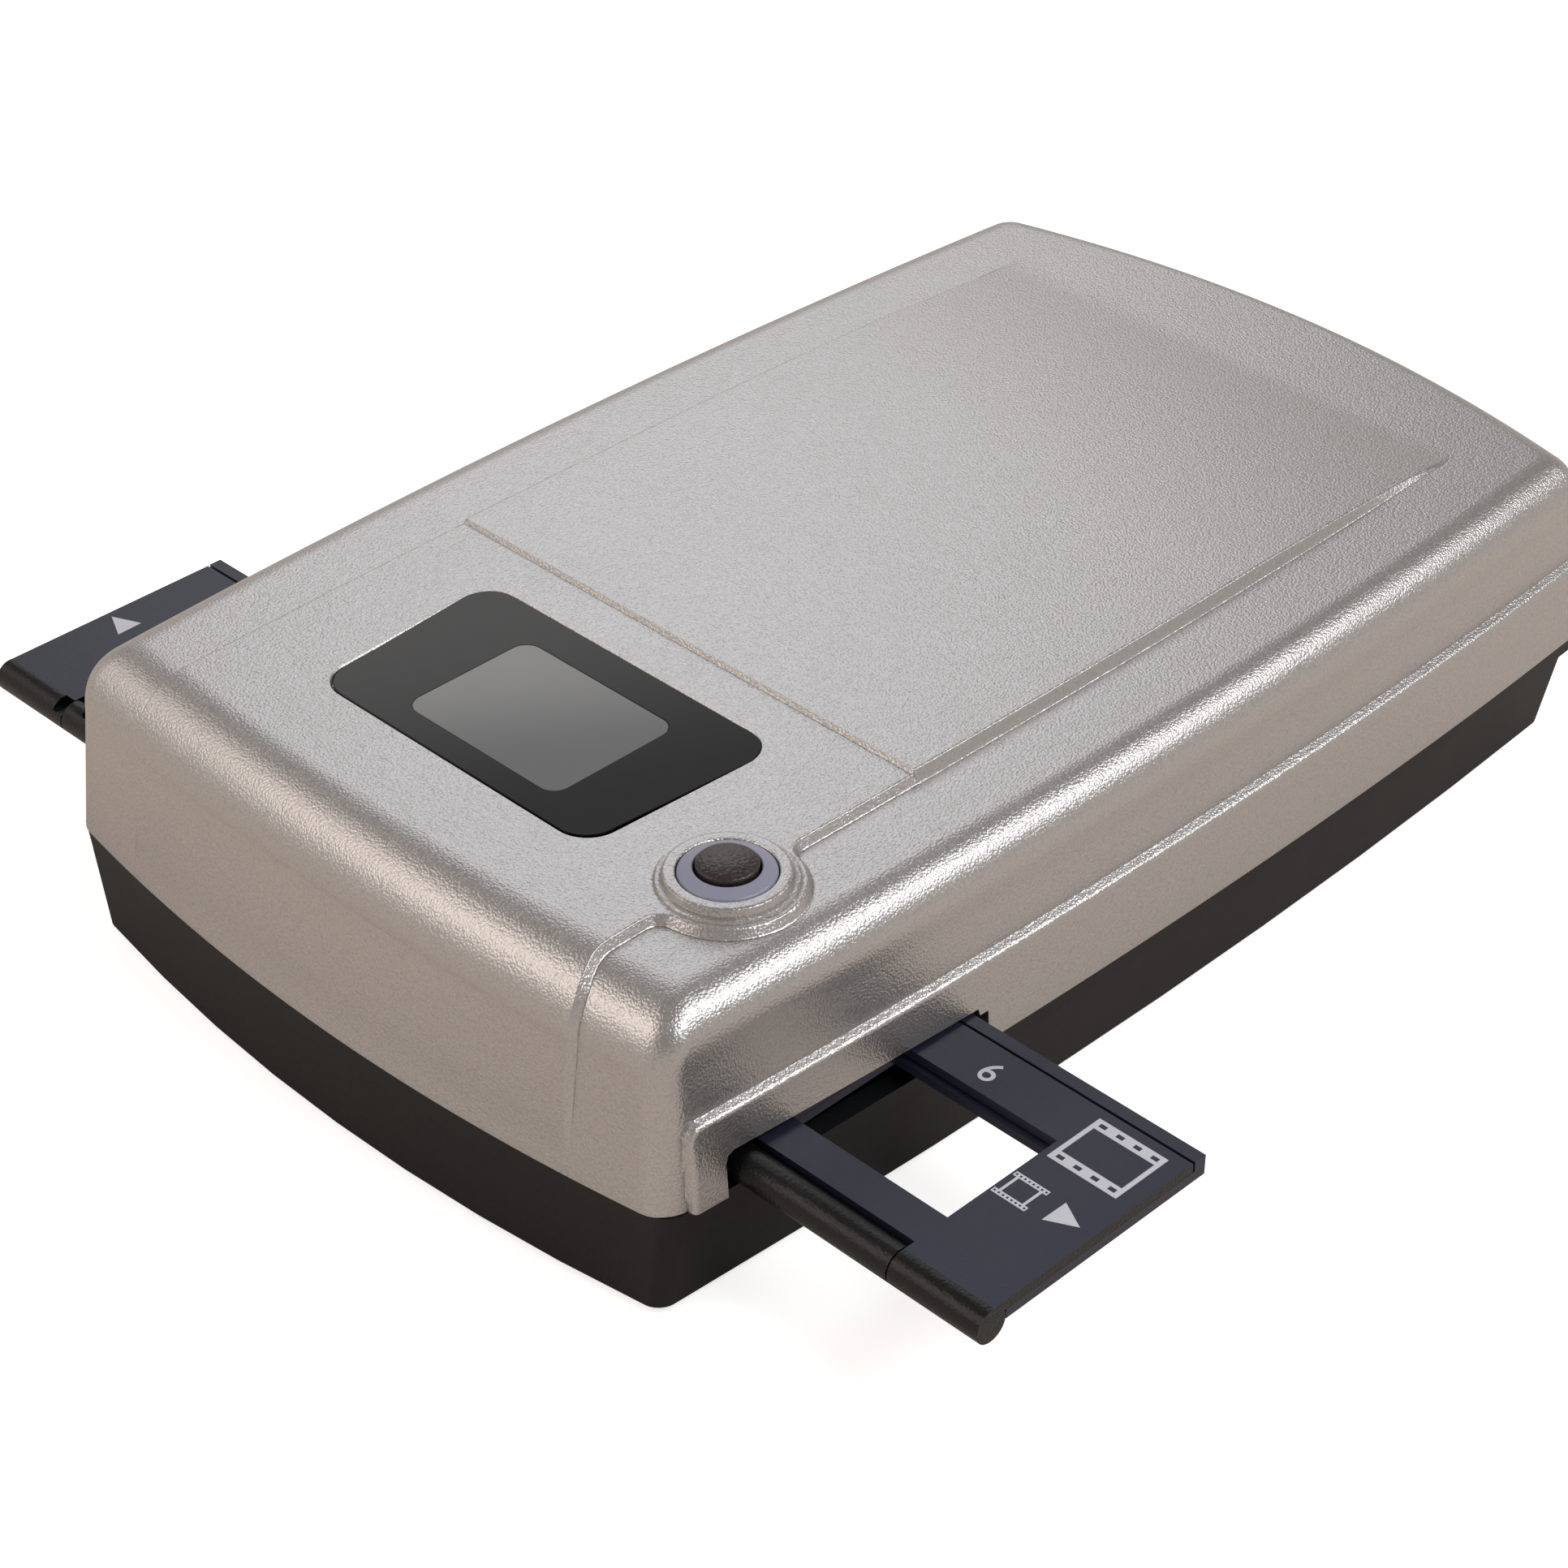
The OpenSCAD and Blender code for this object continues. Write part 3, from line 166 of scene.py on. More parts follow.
@dataclass(frozen=True)
class Finish:
    """One surface finish: its colour, its gloss and the real size of its texture."""

    name: str
    colour: str
    coat: Coat = Coat.MOULDED
    metallic: float = 0.0
    roughness: float = 0.5
    ior: float = 1.5
    grain_mm: float = 0.4
    depth_mm: float = 0.02
    tint: float = 0.04
    # The last two fields paint light and shade into the colour as a gradient: the colour at its far end,
    # and the plan points where it starts and ends.
    painted_light_to: str = ""
    fade: tuple[float, float, float, float] = (0.0, 0.0, 0.0, 0.0)

    def material(self) -> Material:
        """Returns the finish's material, and builds it the first time.

        Returns:
            The material, which all pieces of this finish share.
        """
        made = bpy.data.materials.get(self.name)
        if made is None:
            made = bpy.data.materials.new(self.name)
            made.use_nodes = True
            self._wire(made.node_tree)
        return made

    def _wire(self, tree: NodeTree) -> None:
        """Wires colour, roughness and bump into the shader.

        Args:
            tree: the material's tree.
        """
        shader = tree.nodes["Principled BSDF"]
        shader.inputs["Metallic"].default_value = self.metallic
        if self.metallic < 0.5:
            shader.inputs["IOR"].default_value = self.ior
        place = add_node(tree, "ShaderNodeTexCoord").outputs["Object"]
        # Brush and draw lines run along Y.
        if self.coat is Coat.BRUSHED:
            stretch = {"Vector": place, "Scale": (1.0, 0.03, 1.0)}
            place = add_node(tree, "ShaderNodeMapping", stretch).outputs["Vector"]
        # Soft clouds some 20 mm wide vary the colour and the gloss a little.
        cloud = add_node(
            tree, "ShaderNodeTexNoise", {"Vector": place, "Scale": 45.0, "Detail": 3.0}
        ).outputs["Fac"]
        relief = self._relief(tree, place)
        speckled = relief if self.coat is Coat.PEBBLED else cloud
        paint = self._clouded(tree, speckled, self.colour)
        # A painted gradient of light and shade: the colour turns towards the far colour along the fade.
        if self.painted_light_to:
            ends = {0: self._along(tree, place), 6: paint, 7: self._clouded(tree, cloud, self.painted_light_to)}
            paint = add_node(tree, "ShaderNodeMix", ends, data_type="RGBA").outputs[2]
        tree.links.new(paint, shader.inputs["Base Color"])
        gloss = add_node(
            tree,
            "ShaderNodeMapRange",
            {"Value": cloud, "To Min": self.roughness * 0.93, "To Max": self.roughness * 1.07},
        )
        tree.links.new(gloss.outputs["Result"], shader.inputs["Roughness"])
        if self.depth_mm > 0:
            bump = add_node(
                tree, "ShaderNodeBump", {"Height": relief, "Distance": self.depth_mm * MM}
            )
            tree.links.new(bump.outputs["Normal"], shader.inputs["Normal"])

    def _clouded(self, tree: NodeTree, cloud: NodeSocket, colour: str) -> NodeSocket:
        """Returns the socket of a colour that varies a little with the cloud.

        Args:
            tree: the material's tree.
            cloud: the socket that the colour varies with, from 0 to 1.
            colour: its sRGB hex value.

        Returns:
            The colour's socket.
        """
        plain = linear(colour)
        low = tuple(c * (1 - self.tint) for c in plain) + (1.0,)
        high = tuple(min(1.0, c * (1 + self.tint)) for c in plain) + (1.0,)
        return add_node(tree, "ShaderNodeMix", {0: cloud, 6: low, 7: high}, data_type="RGBA").outputs[2]

    def _along(self, tree: NodeTree, place: NodeSocket) -> NodeSocket:
        """Returns the share of the way from the fade's first plan point to its second, for the painted
        gradient of light and shade.

        Args:
            tree: the material's tree.
            place: the coordinates, in metres.

        Returns:
            The socket of the share, from 0 to 1.
        """
        x0, y0, x1, y1 = (v * MM for v in self.fade)
        span = (x1 - x0) ** 2 + (y1 - y0) ** 2
        start = {0: place, 1: (x0, y0, 0.0)}
        moved = add_node(tree, "ShaderNodeVectorMath", start, operation="SUBTRACT").outputs[0]
        way = {0: moved, 1: ((x1 - x0) / span, (y1 - y0) / span, 0.0)}
        share = add_node(tree, "ShaderNodeVectorMath", way, operation="DOT_PRODUCT").outputs["Value"]
        return add_node(
            tree, "ShaderNodeMapRange", {"Value": share}, interpolation_type="SMOOTHSTEP"
        ).outputs["Result"]

    def _relief(self, tree: NodeTree, place: NodeSocket) -> NodeSocket:
        """Returns the socket that gives the height of the texture.

        Args:
            tree: the material's tree.
            place: the coordinates, in metres.

        Returns:
            The height's socket.
        """
        per_metre = 1 / (self.grain_mm * MM)
        fine = add_node(
            tree,
            "ShaderNodeTexNoise",
            {"Vector": place, "Scale": per_metre, "Detail": 2.0, "Roughness": 0.6},
        ).outputs["Fac"]
        if self.coat is not Coat.PEBBLED:
            return fine
        pebbles = add_node(
            tree,
            "ShaderNodeTexVoronoi",
            {"Vector": place, "Scale": per_metre * 0.8},
            feature="F1",
        ).outputs["Distance"]
        height = add_node(tree, "ShaderNodeMath", {0: fine, 1: pebbles}, operation="SUBTRACT").outputs[0]
        return add_node(
            tree, "ShaderNodeMapRange", {"Value": height, "From Min": -0.5, "From Max": 0.6}
        ).outputs["Result"]


# Metallic lacquer on ABS, sprayed over an etched mould: fine pebbles that sparkle on the rims.
# The real grain is finer than a pixel, so it is drawn coarser and shows in the colour too.
CHAMPAGNE = Finish(
    "champagne_lacquer", "BDBBBB", Coat.PEBBLED, 0.92, 0.3, grain_mm=0.4, depth_mm=0.075, tint=0.12
)
# Black ABS from a spark-eroded mould: matt, with a faint grey sheen.
BLACK_ABS = Finish("black_abs", "101216", roughness=0.5, ior=1.34, grain_mm=0.4, depth_mm=0.02)
# Holder halves: smoother black ABS with fine grain; the colour is tinted blue to paint in a bluish sheen.
HOLDER_ABS = Finish("holder_abs", "232537", roughness=0.36, ior=1.42, grain_mm=0.4, depth_mm=0.03)
# The hinge barrel's skin, coarser than the leaves.
GRAINED_ABS = Finish(
    "grained_abs", "0B0B0D", Coat.PEBBLED, roughness=0.32, ior=1.4, grain_mm=0.5, depth_mm=0.05
)
# Smoked acrylic plate: near black and glossy; a painted reflection makes it a shade lighter behind on the
# left.
SMOKED_ACRYLIC = Finish(
    "smoked_acrylic", "434343", Coat.POLISHED, roughness=0.2, ior=1.2, depth_mm=0.0, tint=0.02,
    painted_light_to="070707", fade=(-40.0, -72.0, 22.0, -96.0),
)
# Frosted pane: milky grey under the plate's gloss; painted shade makes it darker towards the front.
FROSTED_PANE = Finish(
    "frosted_pane", "787979", Coat.POLISHED, roughness=0.22, depth_mm=0.0, tint=0.08,
    painted_light_to="484848", fade=(-24.0, -74.0, 4.0, -92.0),
)
# Translucent resin of the light ring, unlit: smooth and bluish.
RING_RESIN = Finish("light_ring_resin", "8E91A6", Coat.POLISHED, roughness=0.3, depth_mm=0.003)
# Brownish black ABS of the button's cap and the dark parts inside: a leather grain that
# catches the light.
CAP_ABS = Finish(
    "button_cap_abs", "2D2423", Coat.PEBBLED, roughness=0.26, grain_mm=0.55, depth_mm=0.1
)
# Screen print, flat and slightly bluish.
WHITE_INK = Finish("white_screen_print", "C9CCD6", Coat.POLISHED, roughness=0.6, depth_mm=0.003)
# Moulded rubber of the feet: dull black.
RUBBER = Finish("foot_rubber", "171717", roughness=0.8, grain_mm=0.3, depth_mm=0.02)
# Bright zinc on pressed steel: pale grey with soft draw lines.
ZINC_STEEL = Finish("zinc_plated_steel", "B9BBBD", Coat.BRUSHED, 1.0, 0.32, grain_mm=0.3, depth_mm=0.004)
# Ground rods and screw: a cleaner shine than the sheet.
GROUND_STEEL = Finish("ground_steel", "C9CACC", Coat.BRUSHED, 1.0, 0.2, grain_mm=0.2, depth_mm=0.002)
# Sintered bronze of the bushings: dull gold.
BRONZE = Finish("sintered_bronze", "A9854F", Coat.POLISHED, 1.0, 0.42, grain_mm=0.2, depth_mm=0.004)
# Turned brass of the pinion: yellow, with turning marks.
BRASS = Finish("turned_brass", "C8A45C", Coat.BRUSHED, 1.0, 0.3, grain_mm=0.2, depth_mm=0.003)
# Solder mask over the boards' glass laminate: glossy green with a faint weave.
BOARD_LAMINATE = Finish(
    "board_laminate", "1D5A35", Coat.POLISHED, roughness=0.35, grain_mm=0.8, depth_mm=0.004
)
# Moulded nylon of the gear and the nut: waxy cream.
NYLON = Finish("natural_nylon", "E2DED2", roughness=0.5)
# White ABS of the lamp's diffuser: even and matt.
WHITE_ABS = Finish("white_abs", "DCDCD7", roughness=0.5)
# Front-silvered glass of the mirror: clear reflections.
SILVERED_GLASS = Finish("silvered_glass", "E6E8EA", Coat.POLISHED, 1.0, 0.04, depth_mm=0.0)
# Coated lens glass: dark blue-grey and very glossy.
COATED_GLASS = Finish("coated_glass", "3A4250", Coat.POLISHED, roughness=0.05, depth_mm=0.0)


# ---------------------------------------------------------------------------
# Mesh making
# ---------------------------------------------------------------------------


class Draft:
    """Collects points and faces in millimetres, and turns them into an object."""

    def __init__(self) -> None:
        """Starts empty."""
        self.blocks: list[Array] = []
        self.faces: list[tuple[int, ...]] = []
        self.count = 0

    def add(self, points: Array) -> Array:
        """Adds points and returns their numbers in the array's own shape.

        Args:
            points: an array whose last axis holds x, y and z.

        Returns:
            The numbers, in an array without that axis.
        """
        flat = np.asarray(points, float).reshape(-1, 3)
        numbers = np.arange(self.count, self.count + len(flat)).reshape(points.shape[:-1])
        self.blocks.append(flat)
        self.count += len(flat)
        return numbers

    def skin(self, grid: Array, leave: Array | None = None) -> None:
        """Joins closed rows of point numbers with quads.

        Args:
            grid: point numbers, one row for each ring, the first one lowest.
            leave: true where a quad is left out.
        """
        rows, width = grid.shape
        for r in range(rows - 1):
            for c in range(width):
                if leave is not None and leave[r, c]:
                    continue
                d = (c + 1) % width
                quad = (grid[r, c], grid[r, d], grid[r + 1, d], grid[r + 1, c])
                self.faces.append(tuple(int(i) for i in quad))

    def fill(self, loops: list[Array], flat: Array, up: bool) -> None:
        """Fills the plan region between the first loop and the others.

        Args:
            loops: point numbers of the outer loop and of each hole.
            flat: x and y of every point so far.
            up: whether the faces look up.
        """
        order = np.concatenate(loops)
        edges: list[tuple[int, int]] = []
        for loop in loops:
            edges += closed_edges(len(edges), len(loop))
        places = [Vector(flat[i]) for i in order]
        verts, _, faces, sources, _, _ = geometry.delaunay_2d_cdt(places, edges, [], 0, 1e-7)
        inside = [in_loop(flat[loop]) for loop in loops]
        for face in faces:
            middle = np.mean([tuple(verts[i]) for i in face], axis=0)
            if not inside[0](middle) or any(hole(middle) for hole in inside[1:]):
                continue
            numbers = tuple(int(order[sources[i][0]]) for i in face)
            self.faces.append(numbers if up else numbers[::-1])

    def plan(self) -> Array:
        """Returns x and y of every point so far."""
        return np.vstack(self.blocks)[:, :2]

    def make(self, name: str, finish: Finish, shift: float = HOUSING_X, angle: float = 32.0) -> Object:
        """Makes the object, smooth but for edges over an angle.

        Args:
            name: the object's name.
            finish: its surface finish.
            shift: how far it moves along X, in millimetres.
            angle: the angle in degrees from which an edge stays sharp.

        Returns:
            The new object.
        """
        points = np.vstack(self.blocks)
        points[:, 0] += shift
        mesh = bpy.data.meshes.new(name)
        mesh.from_pydata((points * MM).tolist(), [], self.faces)
        mesh.validate()
        tidy_mesh(mesh, angle, merge=DOUBLES)
        obj = new_object(name, mesh)
        mesh.materials.append(finish.material())
        return obj


def new_object(name: str, data: ID) -> Object:
    """Makes an object of a mesh, curve, camera or light and links it to the scene.

    Args:
        name: the object's name.
        data: its mesh, curve, camera or light.

    Returns:
        The new object.
    """
    obj = bpy.data.objects.new(name, data)
    bpy.context.scene.collection.objects.link(obj)
    return obj


def closed_edges(start: int, count: int) -> list[tuple[int, int]]:
    """Returns the edges of a closed loop of points numbered from start."""
    return [(start + i, start + (i + 1) % count) for i in range(count)]


def in_loop(loop: Array) -> Callable[[Array], bool]:
    """Returns a test of whether a point lies inside a closed plan loop.

    Args:
        loop: x and y of the loop's points.

    Returns:
        A function that takes a plan point and says whether it is inside.
    """
    x0, y0 = loop[:, 0], loop[:, 1]
    x1, y1 = np.roll(x0, -1), np.roll(y0, -1)

    def test(point: Array) -> bool:
        """Counts the loop's edges to the right of the point.

        Args:
            point: x and y.

        Returns:
            Whether the point is inside.
        """
        crosses = (y0 > point[1]) != (y1 > point[1])
        with np.errstate(divide="ignore", invalid="ignore"):
            at = x0 + (point[1] - y0) * (x1 - x0) / (y1 - y0)
        return bool(np.count_nonzero(crosses & (point[0] < at)) % 2)

    return test


def tidy_mesh(mesh: Mesh, angle: float, merge: float = 0.0, flat: float = 0.0) -> None:
    """Merges doubles, turns normals outwards and shades smooth by angle.

    Args:
        mesh: the mesh to change.
        angle: edges at or over this angle in degrees stay sharp.
        merge: distance in millimetres for doubles, or 0.
        flat: angle in degrees under which faces join into one, or 0.
    """
    work = bmesh.new()
    work.from_mesh(mesh)
    if merge:
        bmesh.ops.remove_doubles(work, verts=work.verts, dist=merge * MM)
        bmesh.ops.dissolve_degenerate(work, edges=work.edges, dist=merge * MM * 0.1)
    if flat:
        bmesh.ops.dissolve_limit(
            work, angle_limit=math.radians(flat), verts=work.verts, edges=work.edges
        )
    bmesh.ops.recalc_face_normals(work, faces=work.faces)
    limit = math.radians(angle)
    for face in work.faces:
        face.smooth = True
    for edge in work.edges:
        edge.smooth = len(edge.link_faces) == 2 and edge.calc_face_angle(0.0) < limit
    work.to_mesh(mesh)
    work.free()


def apply_modifiers(obj: Object) -> None:
    """Replaces an object's mesh by its evaluated one and clears its modifiers.

    Args:
        obj: the object to change.
    """
    graph = bpy.context.evaluated_depsgraph_get()
    graph.update()
    mesh = bpy.data.meshes.new_from_object(obj.evaluated_get(graph))
    obj.modifiers.clear()
    obj.data = mesh


def round_edges(obj: Object, radius: float, segments: int, limit: float, shading: float) -> None:
    """Rounds the edges of an object and shades it again.

    Args:
        obj: the object.
        radius: the edges' radius in millimetres.
        segments: the number of faces across an edge.
        limit: edges over this angle in degrees are rounded.
        shading: edges at or over this angle in degrees stay sharp.
    """
    edges = obj.modifiers.new("edges", "BEVEL")
    edges.width = radius * MM
    edges.segments = segments
    edges.limit_method = "ANGLE"
    edges.angle_limit = math.radians(limit)
    edges.use_clamp_overlap = True
    apply_modifiers(obj)
    tidy_mesh(obj.data, shading, merge=0.001)


def settle(obj: Object, nodes: tuple[str, ...], body: str) -> Object:
    """Evens out a piece's shading, hides the CAD nodes that it replaces and attaches it to the body that
    it moves with.

    Args:
        obj: the piece.
        nodes: the CAD nodes that it replaces.
        body: the body that it moves with.

    Returns:
        The same piece.
    """
    even = obj.modifiers.new("even_shading", "WEIGHTED_NORMAL")
    even.keep_sharp = True
    even.weight = 60
    apply_modifiers(obj)
    if nodes:
        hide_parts(*nodes)
    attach(obj, body)
    return obj


@dataclass(frozen=True)
class Copy:
    """How a CAD node's copy is dressed: its finish, edge radius and place."""

    node: str
    finish: Finish
    slot: str
    body: str = "body"
    radius: float = 0.25
    segments: int = 2
    angle: float = 34.0

    def build(self, frame: dict) -> Object:
        """Copies the node, joins its triangles, rounds its edges and dresses it.

        Args:
            frame: the loaded frame.

        Returns:
            The new piece.
        """
        mesh = frame["nodes"][self.node].data.copy()
        mesh.materials.clear()
        tidy_mesh(mesh, self.angle, merge=0.002, flat=0.4)
        obj = new_object(self.node + "_piece", mesh)
        mesh.materials.append(self.finish.material())
        round_edges(obj, self.radius, self.segments, self.angle, self.angle)
        return settle(obj, (self.node,), self.body)


def turned(profile: list[Pair], centre: Pair, steps: int = 128) -> Array:
    """Returns the rings of a profile turned round an upright axis.

    Args:
        profile: radius and height of each ring.
        centre: x and y of the axis.
        steps: the number of points round.

    Returns:
        An array of rings, points and coordinates.
    """
    turn = np.linspace(0, 2 * math.pi, steps, endpoint=False)
    rings = [
        np.column_stack([centre[0] + r * np.cos(turn), centre[1] + r * np.sin(turn), np.full(steps, z)])
        for r, z in profile
    ]
    return np.array(rings)


def arc(centre: Pair, radius: float, start: float, end: float, steps: int) -> list[Pair]:
    """Returns points of an arc.

    Args:
        centre: its middle.
        radius: its radius.
        start: the first angle in degrees.
        end: the last angle in degrees.
        steps: the number of segments.
    """
    angles = np.radians(np.linspace(start, end, steps + 1))
    return [(centre[0] + radius * math.cos(a), centre[1] + radius * math.sin(a)) for a in angles]


def rounded_loop(corners: list[Pair], radius: float, steps: int = 10) -> Array:
    """Returns an anticlockwise loop with its corners rounded.

    Args:
        corners: the corner points, anticlockwise.
        radius: the corner radius.
        steps: the number of segments in each corner.

    Returns:
        The loop's plan points.
    """
    loop = []
    count = len(corners)
    for i in range(count):
        at = np.array(corners[i], float)
        before = np.array(corners[i - 1], float) - at
        after = np.array(corners[(i + 1) % count], float) - at
        before /= np.linalg.norm(before)
        after /= np.linalg.norm(after)
        half = math.acos(float(np.clip(before @ after, -1, 1))) / 2
        middle = at + (before + after) / np.linalg.norm(before + after) * radius / math.sin(half)
        first = at + before * radius / math.tan(half) - middle
        last = at + after * radius / math.tan(half) - middle
        a0 = math.atan2(first[1], first[0])
        a1 = math.atan2(last[1], last[0])
        while a1 < a0:
            a1 += 2 * math.pi
        for a in np.linspace(a0, a1, steps + 1):
            loop.append((middle[0] + radius * math.cos(a), middle[1] + radius * math.sin(a)))
    return np.array(loop)


def level(loop: Array, z: float) -> Array:
    """Returns a plan loop at height z."""
    return np.column_stack([loop, np.full(len(loop), z)])


def shrink(loop: Array, by: float) -> Array:
    """Moves an anticlockwise plan loop inwards.

    Args:
        loop: the loop's points.
        by: how far they move.

    Returns:
        The smaller loop.
    """
    along = np.roll(loop, -1, axis=0) - np.roll(loop, 1, axis=0)
    along /= np.linalg.norm(along, axis=1)[:, None]
    return loop + by * np.column_stack([-along[:, 1], along[:, 0]])


def cross(a: Array, b: Array) -> float:
    """Returns the cross product of two plan vectors."""
    return a[0] * b[1] - a[1] * b[0]


def bearing(way: Array) -> float:
    """Returns the angle of a plan vector, in radians from the x axis."""
    return math.atan2(way[1], way[0])


def around(centre: Array, radius: float, angles: Array) -> list[Array]:
    """Returns the points of a circle at some angles."""
    return [centre + radius * np.array([math.cos(a), math.sin(a)]) for a in angles]


# ---------------------------------------------------------------------------
# Cover
# ---------------------------------------------------------------------------

# Distance from a step's edge, and how much of the rise is left there.
STEP_AT = np.array([-1.0, -0.8, -0.62, -0.5, -0.4, 0.4, 0.5, 0.62, 0.8, 1.0])
STEP_RISE = np.array([1.0, 0.997, 0.982, 0.955, 0.9, 0.07, -0.01, -0.05, -0.04, 0.0])
# Depth below the side band's top in millimetres, and how far out the band is there: a gently
# sloping ledge with a crisp root and a small round nose.
LEDGE_AT = np.array([-0.01, 0.0, 0.22, 0.44, 0.66, 0.88, 1.1])
LEDGE_OUT = np.array([0.0, 0.3, 0.68, 0.86, 0.95, 0.99, 1.0])


def rim_in(z: float, top: float, radius: float) -> float:
    """Returns how far a rim of some radius under the top has turned in at height z.

    Args:
        z: the height.
        top: height of the rim's upper end.
        radius: the rim's radius.

    Returns:
        The distance in from the wall.
    """
    if z <= top - radius:
        return 0.0
    return radius - math.sqrt(max(0.0, radius**2 - (z - top + radius) ** 2))


@dataclass(frozen=True)
class Ring:
    """One closed plan outline with bowed sides and ends, and its height."""

    half: float
    front: float
    rear: float
    bow: float
    front_bow: float
    rear_bow: float
    corner: float
    z: float

    @property
    def corner_x(self) -> float:
        """X of the corners before they are rounded."""
        return self.half - self.bow

    def front_y(self, x: Array) -> Array:
        """Returns y of the front end at x."""
        return -self.front + self.front_bow * (x / self.corner_x) ** 2

    def rear_y(self, x: Array) -> Array:
        """Returns y of the rear end at x."""
        return self.rear - self.rear_bow * (x / self.corner_x) ** 2

    def side_x(self, y: Array) -> Array:
        """Returns x of the right side at y."""
        ends = np.where(y < 0, self.front - self.front_bow, self.rear - self.rear_bow)
        return self.half - self.bow * (y / ends) ** 2

    def points(self, side: Array, rear: Array, front: Array, steps: int) -> Array:
        """Returns the outline, anticlockwise from the front right corner.

        Args:
            side: fractions along the right side, from the front.
            rear: fractions along the rear end, from the right.
            front: x of the points along the front end, from the left.
            steps: the number of segments in each corner.

        Returns:
            The points with their height.
        """
        cx, cf, cr, r = self.corner_x, self.front - self.front_bow, self.rear - self.rear_bow, self.corner
        ys = -cf + r + (cf + cr - 2 * r) * side
        right = np.column_stack([self.side_x(ys), ys])
        xs = (cx - r) * (1 - 2 * rear)
        back = np.column_stack([xs, self.rear_y(xs)])
        left = right[::-1] * (-1, 1)
        fore = np.column_stack([front, self.front_y(front)])
        loop = np.vstack([
            right, self._corner(right[-1], (cx, cr), back[0], steps),
            back, self._corner(back[-1], (-cx, cr), left[0], steps),
            left, self._corner(left[-1], (-cx, -cf), fore[0], steps),
            fore, self._corner(fore[-1], (cx, -cf), right[0], steps),
        ])
        return level(loop, self.z)

    @staticmethod
    def _corner(start: Array, tip: Pair, end: Array, steps: int) -> Array:
        """Returns the inner points of a round corner between two points.

        Args:
            start: the point before the corner.
            tip: the corner before it is rounded.
            end: the point after the corner.
            steps: the number of segments.

        Returns:
            The points between the two.
        """
        t = np.linspace(0, 1, steps + 1)[1:-1, None]
        w = math.sqrt(0.5)
        weight = (1 - t) ** 2 + 2 * w * t * (1 - t) + t**2
        return ((1 - t) ** 2 * start + 2 * w * t * (1 - t) * np.array(tip) + t**2 * end) / weight


@dataclass(frozen=True)
class Pocket:
    """The pocket, 0.4 mm larger than the flush plate all round, and the light window's hole."""

    centre: Pair = (-1.3, -81.4)
    half_w: float = 37.2
    half_l: float = 22.2
    taper: float = 1.2
    corner: float = 6.9
    depth: float = 1.6
    edge: float = 0.25
    hole_y: float = -82.6
    hole_half: Pair = (21.4, 16.3)
    hole_corner: float = 5.0

    def plan(self) -> Array:
        """Returns the pocket's outline, wider behind than in front.

        Returns:
            The loop, anticlockwise.
        """
        (x, y), w, h, t = self.centre, self.half_w, self.half_l, self.taper
        corners = [(x - w + t, y - h), (x + w - t, y - h), (x + w + t, y + h), (x - w - t, y + h)]
        return rounded_loop(corners, self.corner, 14)

    def hole(self) -> Array:
        """Returns the outline of the hole."""
        x, y = self.hole_half
        return rounded_loop([(-x, -y), (x, -y), (x, y), (-x, y)], self.hole_corner) + (0.0, self.hole_y)


